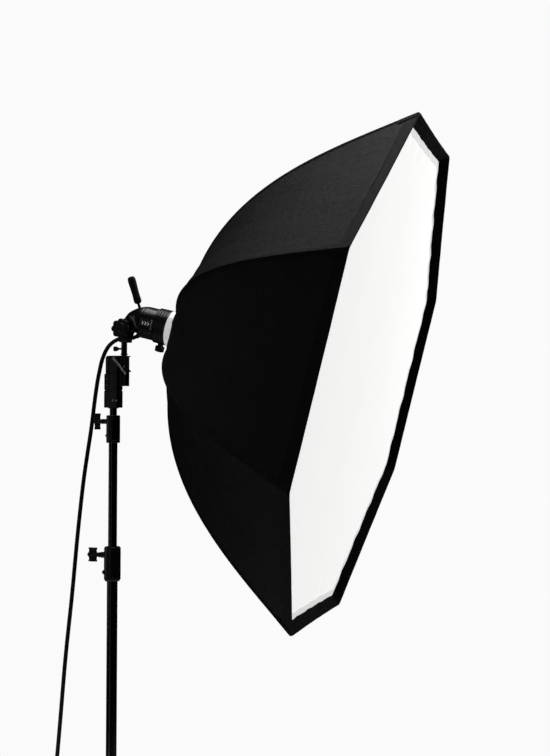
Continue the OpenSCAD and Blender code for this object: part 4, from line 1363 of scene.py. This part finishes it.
def build_knobs():
    # tilt lock: a lobed hand knob on its washer, facing the near side
    m = ST @ T(41, 0, 2000) @ R("X", 90)           # +z towards the near side (-Y)
    parts = [fluted(32, 20.6, 8, 5.0, 3.2, 192, 25.4, 0.0, power=0.55),
             lathe([(0, 45.9), (17.4, 45.9), (17.4, 47.0), (16.4, 48), (9.0, 48), (8.4, 47.3), (0, 47.3)], 72),
             lathe([(4.9, 22.4), (14.4, 22.4), (15, 23), (15, 25.4), (4.9, 25.4)], 64, True)]
    for i in range(8):
        a = math.radians(45 * i + 22.5)
        parts.append(moved(lathe([(0, 0), (2.2, 0), (2.2, 0.5), (1.8, 0.8), (0, 0.8)], 20), T(21.5 * math.cos(a), 21.5 * math.sin(a), 45.6)))
    v, f = merge(*parts)
    add("tilt_hand_knob", v, f, "plastic", "tilt_lock", m, 35, slot="black_plastic", nodes=["tilt_knob"])
    b = lathe([(0, -28.5), (4.2, -28.5), (5, -27.7), (5, 25), (0, 25)], 40)
    add("tilt_bolt", *b, "zinc", "tilt_lock", m, 35, slot="steel")
    # the ring adapter's clamp knob, below
    m = AX @ T(0, 0, 131) @ R("Y", 90)
    parts = [fluted(15.1, 18, 10, 1.9, 2.0, 160, 62, 1.0, 0.55, power=0.7),
             lathe([(0, 58), (8.4, 58), (9, 58.6), (9, 62.3), (0, 62.3)], 48),
             lathe([(0, 79.6), (8.4, 79.6), (8.4, 80.6), (7.6, 81.4), (0, 81.8)], 48)]
    v, f = merge(*parts)
    add("clamp_hand_knob", v, f, "plastic", "ring_screw", m, 35, slot="black_plastic", nodes=["adapter_clamp_knob"])
    add("clamp_screw", *lathe([(0, 52), (3.4, 52), (4, 52.8), (4, 60), (0, 60)], 32), "zinc", "ring_screw", m, 35, slot="steel")
    # tilt handle: bent rod end and moulded grip
    m = HN
    v, f = lathe([(0, -6.9), (4.5, -6.9), (4.5, 13), (4.0, 14), (4.0, 33.1), (0, 33.1)], 40)
    add("handle_rod", v, f, "tube", "flash_head", m, 35, slot="black_plastic", nodes=["handle_stem"])
    g = [(4.6, 20), (7.4, 20), (8.2, 20.6), (8.6, 21.6), (9.6, 23), (10.4, 25.2), (10.9, 29), (10.7, 36), (10.3, 46), (10.2, 56), (10.6, 70),
         (11.2, 82), (11.5, 90), (11.3, 97), (10.6, 103), (9.4, 106.4), (7.2, 108.4), (3.4, 109), (0, 109)]
    v, f = lathe([(r * (1.13 if r > 7 else 1.0), z) for r, z in g], 96)
    q = []
    for x, y, z in v:
        r, a = math.hypot(x, y), math.atan2(y, x)
        if r > 6 and 30 < z < 99:
            d = 0.45 * max(0.0, math.sin(a * 9)) * min(1, (z - 30) / 6, (99 - z) / 6)
            x, y = x * (r - d) / r, y * (r - d) / r
        q.append((x, y, z))
    add("handle_cover", q, f, "rubber", "flash_head", m, 30, slot="rubber", nodes=["handle_grip"])


build_knobs()


def build_fork():
    """Tilt fork: two round-ended cheeks on a base block, the cheeks' faces dished round the pivot."""
    parts = []
    base = rrect(29, 44, 3.0, 40.5, 0, 6)
    parts.append(slab(base, 1958, 1970.3, 1.6))
    for s_ in (-1, 1):
        out = [(27, 1969), (55, 1969)]
        out += [(41 + 24 * math.cos(math.radians(a)), 2000 + 24 * math.sin(math.radians(a))) for a in np.linspace(-35.7, 215.7, 44)]
        y0 = 22.0 if s_ > 0 else -14.4
        parts.append(moved(slab(out, 0, 7.6, 1.3), XZ(y0)))
    v, f = merge(*parts)
    add("fork_casting", v, f, "cast", "pan_mount", ST, 38, slot="black_casting", nodes=["tilt_fork"])
    rim = []
    for s_ in (-1, 1):
        m = T(41, 22.0 * s_, 2000) @ R("X", -90 * s_)
        rim.append(moved(lathe([(16.2, -0.3), (18.6, -0.3), (18.6, 0.25), (18.2, 0.45), (16.6, 0.45), (16.2, 0.2)], 72, True), m))
    v, f = merge(*rim)
    add("fork_rims", v, f, "cast", "pan_mount", ST, 38, slot="black_casting")
    # spigot with a groove, and a raised band
    v, f = lathe([(0, 1826), (6.6, 1826), (7.4, 1826.6), (8, 1828), (8, 1849.6), (7.2, 1851), (7, 1852), (7, 1862), (7.2, 1863), (8, 1864.4),
                  (8, 1916.8), (10.5, 1917.6), (11, 1918.2), (11, 1921.8), (10.4, 1922.6), (9.5, 1924), (9.5, 1957.4), (9.2, 1957.8), (0, 1957.8)], 72)
    add("spigot", v, f, "cast", "pan_mount", ST @ T(36, 0, 0), 35, slot="black_casting", nodes=["stem"])
    # nut and washer on the far side
    m = ST @ T(41, 0, 2000) @ R("X", -90)
    hexa = [(9.5 * math.cos(math.radians(60 * i)), 9.5 * math.sin(math.radians(60 * i))) for i in range(6)]
    v, f = merge(slab(hexa, 23.9, 30, 0.7), lathe([(5.1, 22.3), (10.6, 22.3), (11, 22.7), (11, 23.7), (10.7, 24), (5.1, 24)], 56, True))
    add("pivot_nut", v, f, "zinc", "pan_mount", m, 35, slot="steel", nodes=["tilt_nut"])
    # stem's own lock screw, a small T-handle
    m = ST @ T(0, 0, 1938)
    parts = [moved(lathe([(0, 11), (3, 11), (3, 31.4), (2.5, 32), (0, 32)], 28), R("Y", 90)),
             moved(lathe([(0, 11.5), (5, 11.5), (5.5, 12), (5.5, 15.4), (5, 16), (0, 16)], 32), R("Y", 90)),
             moved(slab(rrect(13, 15.6, 3.4, 6, 0, 8), -3.5, 3.5, 1.6), R("X", 90))]
    v, f = merge(*parts)
    add("stem_t_screw", v, f, "plastic", "stem_screw", m, 35, slot="black_plastic", nodes=["stem_lock_knob"])


build_fork()


def build_bracket():
    """Column bracket: a stepped extrusion with grooved flanks, a spigot socket, top plate, screws and levers."""
    def grooved(w, d, r, cx, grooves):
        """Rounded rectangle whose near and far faces carry shallow flutes."""
        o = np.array(rrect(w, d, r, cx, 0, 8))
        pts = []
        m = len(o)
        for i in range(m):
            a, b = o[i], o[(i + 1) % m]
            L = np.linalg.norm(b - a)
            k = max(1, int(L / 0.6))
            for j in range(k):
                p = a + (b - a) * j / k
                if abs(abs(p[1]) - d / 2) < 0.05:
                    dep = sum(g[2] * max(0.0, 1 - ((p[0] - g[0]) / g[1]) ** 2) for g in grooves)
                    p = p - np.array((0, math.copysign(dep, p[1])))
                pts.append(tuple(p))
        return pts
    gr = [(-15.5, 2.2, 0.9), (-6.0, 2.2, 0.9), (13.5, 1.8, 0.8)]
    parts = [slab(rrect(50, 44, 7, 0, 0, 10), 1750, 1804, 1.6),
             slab(rrect(46, 40, 6, 0, 0, 8), 1803.5, 1807.5, 0.3),
             slab(grooved(49, 43, 6, 0, gr), 1807, 1857.4, 1.0),
             slab(grooved(45, 40, 6, 1.5, gr), 1857, 1912, 1.2)]
    # a clamp ring at the foot
    parts.append(lathe([(11.7, 1747.6), (15.4, 1747.6), (16.2, 1748.4), (16.2, 1751), (11.7, 1751)], 64, True))
    v, f = merge(*parts)
    add("bracket_casting", v, f, "cast", "top_stage", ST, 38, slot="black_casting", nodes=["bracket_body"])
    # socket block, with its clamping slit shown as two thin strips on its faces
    out = rrect(24.4, 32, 4, 36.8, 0, 8)
    v, f = slab(out, 1819, 1912, 1.4)
    add("socket_casting", v, f, "cast", "top_stage", ST, 38, slot="black_casting", nodes=["bracket_socket"])
    v, f = merge(slab(rrect(1.2, 1.6, 0.3, 48.7, 0, 2), 1821, 1909, 0.1, 1),
                 moved(slab(rrect(10, 86, 1.6, 0, 0, 4), 0, 0.5, 0.3, 2), T(36.8, -15.75, 1866) @ R("X", 90)))
    add("socket_slit", v, f, "rubber", "top_stage", ST, 38, slot="black_casting")
    v, f = slab(rrect(68, 44, 6, 17.4, 0, 10), 1912.3, 1915.3, 0.7)
    add("top_plate", v, f, "cast", "top_stage", ST, 38, slot="black_casting", nodes=["bracket_plate"])
    hs = []
    for x in (8, 20):
        hs.append(screw_head(3.6, 1.8, T(x, -22.1, 1773) @ R("X", 90)))
    for x, z in ((-14, 1822), (-14, 1842)):
        hs.append(screw_head(2.4, 1.0, T(x, -21.4, z) @ R("X", 90)))
    v, f = merge(*hs)
    add("body_screws", v, f, "zinc", "top_stage", ST, 38, slot="steel", nodes=["bracket_screws"])
    # bright cam lever: a pressed blade with a raised spine and a rounded tip
    m = ST @ T(10, 0, 1905) @ R("Y", 49) @ XZ(-21.2)
    blade = [(6 * math.cos(math.radians(a)), 6 * math.sin(math.radians(a))) for a in np.linspace(48, 312, 24)]
    blade += [(60 + 4.5 * math.cos(math.radians(a)), 4.5 * math.sin(math.radians(a))) for a in np.linspace(-88, 88, 16)]
    sp = [(10 + 2.2 * math.cos(math.radians(a)), 2.2 * math.sin(math.radians(a))) for a in np.linspace(90, 270, 10)]
    sp += [(56 + 2.0 * math.cos(math.radians(a)), 2.0 * math.sin(math.radians(a))) for a in np.linspace(-90, 90, 10)]
    v, f = merge(slab(blade, 0, 3, 0.7), slab(sp, 2.8, 3.7, 0.5, 2))
    add("cam_blade", v, f, "steel", "cam_lever", m, 35, slot="steel", nodes=["bracket_lever"])
    m = ST @ T(10, 0, 1905) @ R("X", 90)
    v, f = merge(lathe([(0, 10), (3, 10), (3, 24.1), (0, 24.1)], 32), lathe([(0, 24.1), (4, 24.1), (4, 24.9), (3.2, 25.6), (0, 25.6)], 32),
                 lathe([(3.1, 20.5), (4.5, 20.5), (4.5, 21.3), (3.1, 21.3)], 32, True))
    add("cam_pin", v, f, "zinc", "cam_lever", m, 35, slot="steel")
    m = ST @ T(43, 0, 1880) @ R("Y", 35) @ XZ(-16.4)
    bl = [(4 * math.cos(math.radians(a)), 4 * math.sin(math.radians(a))) for a in np.linspace(40, 320, 20)]
    bl += [(26 + 2.5 * math.cos(math.radians(a)), 2.5 * math.sin(math.radians(a))) for a in np.linspace(-86, 86, 12)]
    v, f = merge(moved(slab(bl, 0, 3.4, 0.9), np.eye(4)))
    add("clamp_blade", v, f, "cast", "safety_lever", m, 35, slot="black_casting", nodes=["clamp_lever"])
    add("clamp_pin", *lathe([(0, 12), (2.5, 12), (2.5, 19.5), (2.1, 19.9), (0, 19.9)], 28), "zinc", "safety_lever",
        ST @ T(43, 0, 1880) @ R("X", 90), 35, slot="steel")


build_bracket()


# ------------------------------------------------------------------ stand
def build_collar(name, body, node, prof_pts, knob_z, boss, pinch):
    """Lock collar: turned sleeve with a knob boss and a pinch bolt."""
    (bx0, bx1, br), (pz, px0, px1, pr1, px2, pr2) = boss, pinch
    parts = [lathe(prof_pts, 112, True, 0.0)]
    parts.append(moved(lathe([(3.6, bx0), (br, bx0), (br, bx1 - 1.0), (br - 1.0, bx1), (3.6, bx1)], 56, True), T(0, 0, knob_z) @ R("Y", -90)))
    parts.append(moved(lathe([(0, px0), (pr1, px0), (pr1, px1 - 0.6), (pr1 - 0.6, px1), (0, px1)], 40), T(0, 0, pz) @ R("Y", -90)))
    v, f = merge(*parts)
    add(name, v, f, "cast", body, ST, 35, slot="black_casting", nodes=[node])
    hs = screw_head(pr2, px2 - px1, T(-px1, 0, pz) @ R("Y", -90))
    add(name + "_bolt", *hs, "zinc", body, ST, 35, slot="steel")


build_collar("lower_lock", "stand_base", "lower_lock_collar",
             [(17.05, 1199), (21.8, 1199), (22.6, 1199.4), (26.0, 1205.2), (26.5, 1206.6), (26.5, 1211), (25.9, 1211.7), (25.9, 1213.3), (26.5, 1214),
              (26.5, 1294), (25.9, 1294.8), (25.9, 1296.2), (26.5, 1297), (26.5, 1302.4), (26.0, 1304), (24.6, 1307.2), (23.6, 1308), (14.05, 1308),
              (14.05, 1240.2), (17.05, 1240.2)],
             1281, (20, 39, 9.5), (1226, 20, 31, 7, 34, 4.5))
build_collar("upper_lock", "middle_stage", "upper_lock_collar",
             [(14.05, 1638), (20.0, 1638), (20.8, 1638.3), (21.8, 1639.6), (22, 1640.6), (22, 1645), (21.5, 1645.6), (21.5, 1647), (22, 1647.6),
              (22, 1714), (21.5, 1714.6), (21.5, 1716), (22, 1716.6), (22, 1722.4), (21.6, 1723.8), (20.4, 1725.6), (19.6, 1726), (11.55, 1726),
              (11.55, 1666.2), (14.05, 1666.2)],
             1706, (14, 31, 8), (1661, 14, 24.6, 4.5, 26, 3.2))


def build_wing(name, body, node, tip_x, z, reach, w, ln):
    """Moulded wing knob on its screw, pointing away from the column towards -X."""
    m = ST @ T(tip_x, 0, z) @ R("Y", -90)          # z runs out from the column, x is up
    hub = lathe([(0, reach + 8), (6.3, reach + 8), (6.7, reach + 9), (6.6, reach + ln * 0.6), (6.2, reach + ln - 1.4), (5.0, reach + ln - 0.2), (0, reach + ln)], 56)
    fl = lathe([(0, reach), (7.4, reach), (8, reach + 0.7), (8, reach + 6.6), (7.2, reach + 7.8), (6.2, reach + 8.2), (0, reach + 8.2)], 56)
    h = w / 2
    z0, z1 = reach + 8.0, reach + ln
    # a wing's outline in the (x, z) plane: waisted, with round thick tips
    wings = []
    for s_ in (-1, 1):
        rings = []
        for i in range(15):
            t = i / 14
            x = s_ * (3 + (h - 3.1) * t)
            th = 3.2 - 1.0 * math.sin(math.pi * min(1, t * 1.25)) + 1.0 * max(0, (t - 0.7) / 0.3)
            zc = (z0 + z1) / 2 + 0.8
            hz = (z1 - z0) / 2 * (0.98 - 0.22 * math.sin(math.pi * t * 0.95)) - 0.4
            e = 1.0 if t < 0.93 else max(0.35, math.sqrt(max(0.0, 1 - ((t - 0.93) / 0.075) ** 2)))
            ring = []
            for a in np.linspace(0, 2 * math.pi, 36, endpoint=False):
                c, s2 = math.cos(a), math.sin(a)
                q = (abs(c) ** 3.2 + abs(s2) ** 3.2) ** (-1 / 3.2)
                ring.append((x, th * s2 * q * e, zc + (hz * c * q - (0 if e == 1 else (1 - e) * hz * c * q * 0.35))))
            rings.append(ring)
        wings.append(loft(rings))
    v, f = merge(hub, fl, *wings)
    add(name, v, f, "plastic", body, m, 35, slot="black_plastic", nodes=[node])
    add(name + "_screw", *lathe([(0, 0), (2.6, 0), (3.5, 1.2), (3.5, reach + 0.5), (0, reach + 0.5)], 28), "zinc", body, m, 35, slot="steel")


build_wing("lower_wing", "lower_knob", "lower_wing_knob", -14.2, 1281, 26, 45, 44)
build_wing("upper_wing", "upper_knob", "upper_wing_knob", -11.6, 1706, 20.5, 52, 34)

# ------------------------------------------------------------------ exact pieces that are shown as they are
CAD_MAT = {
    "base_column": "tube", "leg_front": "tube", "leg_left": "tube", "leg_right": "tube", "brace_front": "tube",
    "brace_left": "tube", "brace_right": "tube", "mid_column": "tube", "top_column": "tube",
    "base_end_cap": "rubber", "foot_front": "rubber", "foot_left": "rubber", "foot_right": "rubber",
    "leg_collar": "cast", "brace_collar": "cast", "lower_lock_collar": "cast", "upper_lock_collar": "cast",
    "leg_pins": "zinc", "bracket_body": "cast", "bracket_socket": "cast", "bracket_plate": "cast",
    "bracket_screws": "zinc", "bracket_lever": "steel", "clamp_lever": "cast", "stem": "cast",
    "stem_lock_knob": "plastic", "tilt_fork": "cast", "tilt_nut": "zinc", "tilt_knob": "plastic",
    "lower_wing_knob": "plastic", "upper_wing_knob": "plastic", "rear_housing": "housing", "handle_stem": "plastic",
    "handle_grip": "rubber", "head_barrel": "housing", "reflector_dish": "dish", "flash_tube": "lamp",
    "modelling_lamp": "lamp", "glass_dome": "glass", "ribbed_collar": "cast", "adapter_ring": "silver",
    "adapter_clamp_knob": "plastic", "speedring_plate": "plate", "rod_sockets": "plate", "rods": "rod", "rod_tips": "plastic",
}
ROUND = {"leg_collar": 1.0, "brace_collar": 1.0, "lower_lock_collar": 1.0, "upper_lock_collar": 1.0,
         "bracket_body": 1.6, "bracket_socket": 1.2, "bracket_plate": 0.6, "bracket_lever": 0.7, "clamp_lever": 0.6,
         "stem": 0.6, "tilt_fork": 1.2, "foot_front": 1.2, "foot_left": 1.2, "foot_right": 1.2, "base_end_cap": 0.8,
         "lower_wing_knob": 1.2, "upper_wing_knob": 1.2, "handle_stem": 1.0, "adapter_ring": 0.5, "speedring_plate": 0.8,
         "brace_front": 0.8, "brace_left": 0.8, "brace_right": 0.8, "rear_housing": 2.0, "tilt_nut": 0.5, "leg_pins": 0.4,
         "stem_lock_knob": 0.6, "bracket_screws": 0.3}


def finish_cad():
    for ob in list(bpy.data.objects):
        nm = ob.name
        if nm in CAD_MAT and ob.type == "MESH":
            for i in range(len(ob.material_slots)):
                ob.material_slots[i].link = "OBJECT"
                ob.material_slots[i].material = M[CAD_MAT[nm]]
            if nm in ROUND:
                bv = ob.modifiers.new("rounding", "BEVEL")
                bv.width = ROUND[nm] / 1000
                bv.segments = 3
                bv.limit_method = "ANGLE"
                bv.angle_limit = math.radians(38)
                bv.harden_normals = False
                bv.use_clamp_overlap = True
                wn = ob.modifiers.new("normals", "WEIGHTED_NORMAL")
                wn.keep_sharp = True

finish_cad()

# ------------------------------------------------------------------ backdrop, floor and lights
scene.view_settings.view_transform = "Standard"
scene.view_settings.look = "None"
world = bpy.data.worlds.new("studio")
scene.world = world
world.use_nodes = True
wt = world.node_tree
wt.nodes.clear()
wo = wt.nodes.new("ShaderNodeOutputWorld")
lp = wt.nodes.new("ShaderNodeLightPath")
mixw = wt.nodes.new("ShaderNodeMixShader")
amb = wt.nodes.new("ShaderNodeBackground")
cam_bg = wt.nodes.new("ShaderNodeBackground")
cam_bg.inputs["Color"].default_value = (0.957, 0.957, 0.957, 1)
cam_bg.inputs["Strength"].default_value = 1.0
tcw = wt.nodes.new("ShaderNodeTexCoord")
sep = wt.nodes.new("ShaderNodeSeparateXYZ")
wt.links.new(tcw.outputs["Generated"], sep.inputs[0])
rw = wt.nodes.new("ShaderNodeValToRGB")
e = rw.color_ramp.elements
e[0].position, e[0].color = 0.0, (0.05, 0.05, 0.05, 1)
e[1].position, e[1].color = 1.0, (0.9, 0.9, 0.92, 1)
for p, c in ((0.45, 0.06), (0.55, 0.12), (0.75, 0.45)):
    q = e.new(p)
    q.color = (c, c, c, 1)
mr = wt.nodes.new("ShaderNodeMapRange")
mr.inputs["From Min"].default_value = -1
mr.inputs["From Max"].default_value = 1
wt.links.new(sep.outputs["Z"], mr.inputs["Value"])
wt.links.new(mr.outputs["Result"], rw.inputs["Fac"])
wt.links.new(rw.outputs["Color"], amb.inputs["Color"])
amb.inputs["Strength"].default_value = 0.016
wt.links.new(lp.outputs["Is Camera Ray"], mixw.inputs["Fac"])
wt.links.new(amb.outputs[0], mixw.inputs[1])
wt.links.new(cam_bg.outputs[0], mixw.inputs[2])
wt.links.new(mixw.outputs[0], wo.inputs["Surface"])


def area_light(name, loc, aim, size, power, color=(1, 1, 1), spread=180, size_y=None):
    d = bpy.data.lights.new(name, "AREA")
    d.energy = power
    d.size = size
    if size_y:
        d.shape = "RECTANGLE"
        d.size_y = size_y
    d.color = color
    d.spread = math.radians(spread)
    o = bpy.data.objects.new(name, d)
    scene.collection.objects.link(o)
    o.location = loc
    o.rotation_euler = (Vector(aim) - Vector(loc)).to_track_quat("-Z", "Y").to_euler()
    return o


area_light("overhead", (-0.05, 0.30, 5.2), (0.0, -0.2, 1.9), 2.2, 59)
area_light("left_strip", (-3.4, -0.6, 2.0), (-0.38, 0, 1.7), 0.4, 6, size_y=3.2)
area_light("side_strip", (-1.5, -3.4, 1.9), (-0.3, 0, 1.8), 0.42, 3.6, size_y=4.2)
area_light("low_kick", (-0.9, -1.0, 0.15), (0.1, -0.45, 1.55), 0.5, 1.1)
area_light("front_graze", (2.6, 2.4, 2.8), (0.45, 0, 1.85), 1.4, 40)


def build_floor():
    """A pale studio floor that fades out before it meets the backdrop."""
    n, rows = 96, [0.0, 0.3, 0.7, 1.2, 1.8, 2.4, 2.9]
    verts, faces = [(0, 0, 0)], []
    for r in rows[1:]:
        verts += [(r * 1000 * math.cos(2 * math.pi * i / n), r * 1000 * math.sin(2 * math.pi * i / n), 0) for i in range(n)]
    for i in range(n):
        faces.append((0, 1 + i, 1 + (i + 1) % n))
    for k in range(len(rows) - 2):
        for i in range(n):
            a, b = 1 + k * n, 1 + (k + 1) * n
            faces.append((a + i, a + (i + 1) % n, b + (i + 1) % n, b + i))
    m, nt, b = new_mat("studio_floor")
    M["floor"] = m
    v = coords(nt)
    col = ramp(nt, noise_tex(nt, v, 3, 4), [(0.3, (0.86, 0.86, 0.86)), (0.7, (0.90, 0.90, 0.90))])
    nt.links.new(col, b.inputs["Base Color"])
    b.inputs["Roughness"].default_value = 0.85
    b.inputs["Emission Color"].default_value = (1, 1, 1, 1)
    b.inputs["Emission Strength"].default_value = 0.012
    ln = nt.nodes.new("ShaderNodeVectorMath")
    ln.operation = "LENGTH"
    nt.links.new(v, ln.inputs[0])
    fade = rmap(nt, ln.outputs["Value"], 1.0, 0.0, 1.0, 2.5)
    tr = nt.nodes.new("ShaderNodeBsdfTransparent")
    mx = nt.nodes.new("ShaderNodeMixShader")
    out = nt.nodes["Material Output"]
    nt.links.new(fade, mx.inputs["Fac"])
    nt.links.new(tr.outputs[0], mx.inputs[1])
    nt.links.new(b.outputs[0], mx.inputs[2])
    nt.links.new(mx.outputs[0], out.inputs["Surface"])
    ob = add("floor", verts, faces, "floor", m=T(-200, 0, -1.0), sharp=0)
    return ob


build_floor()
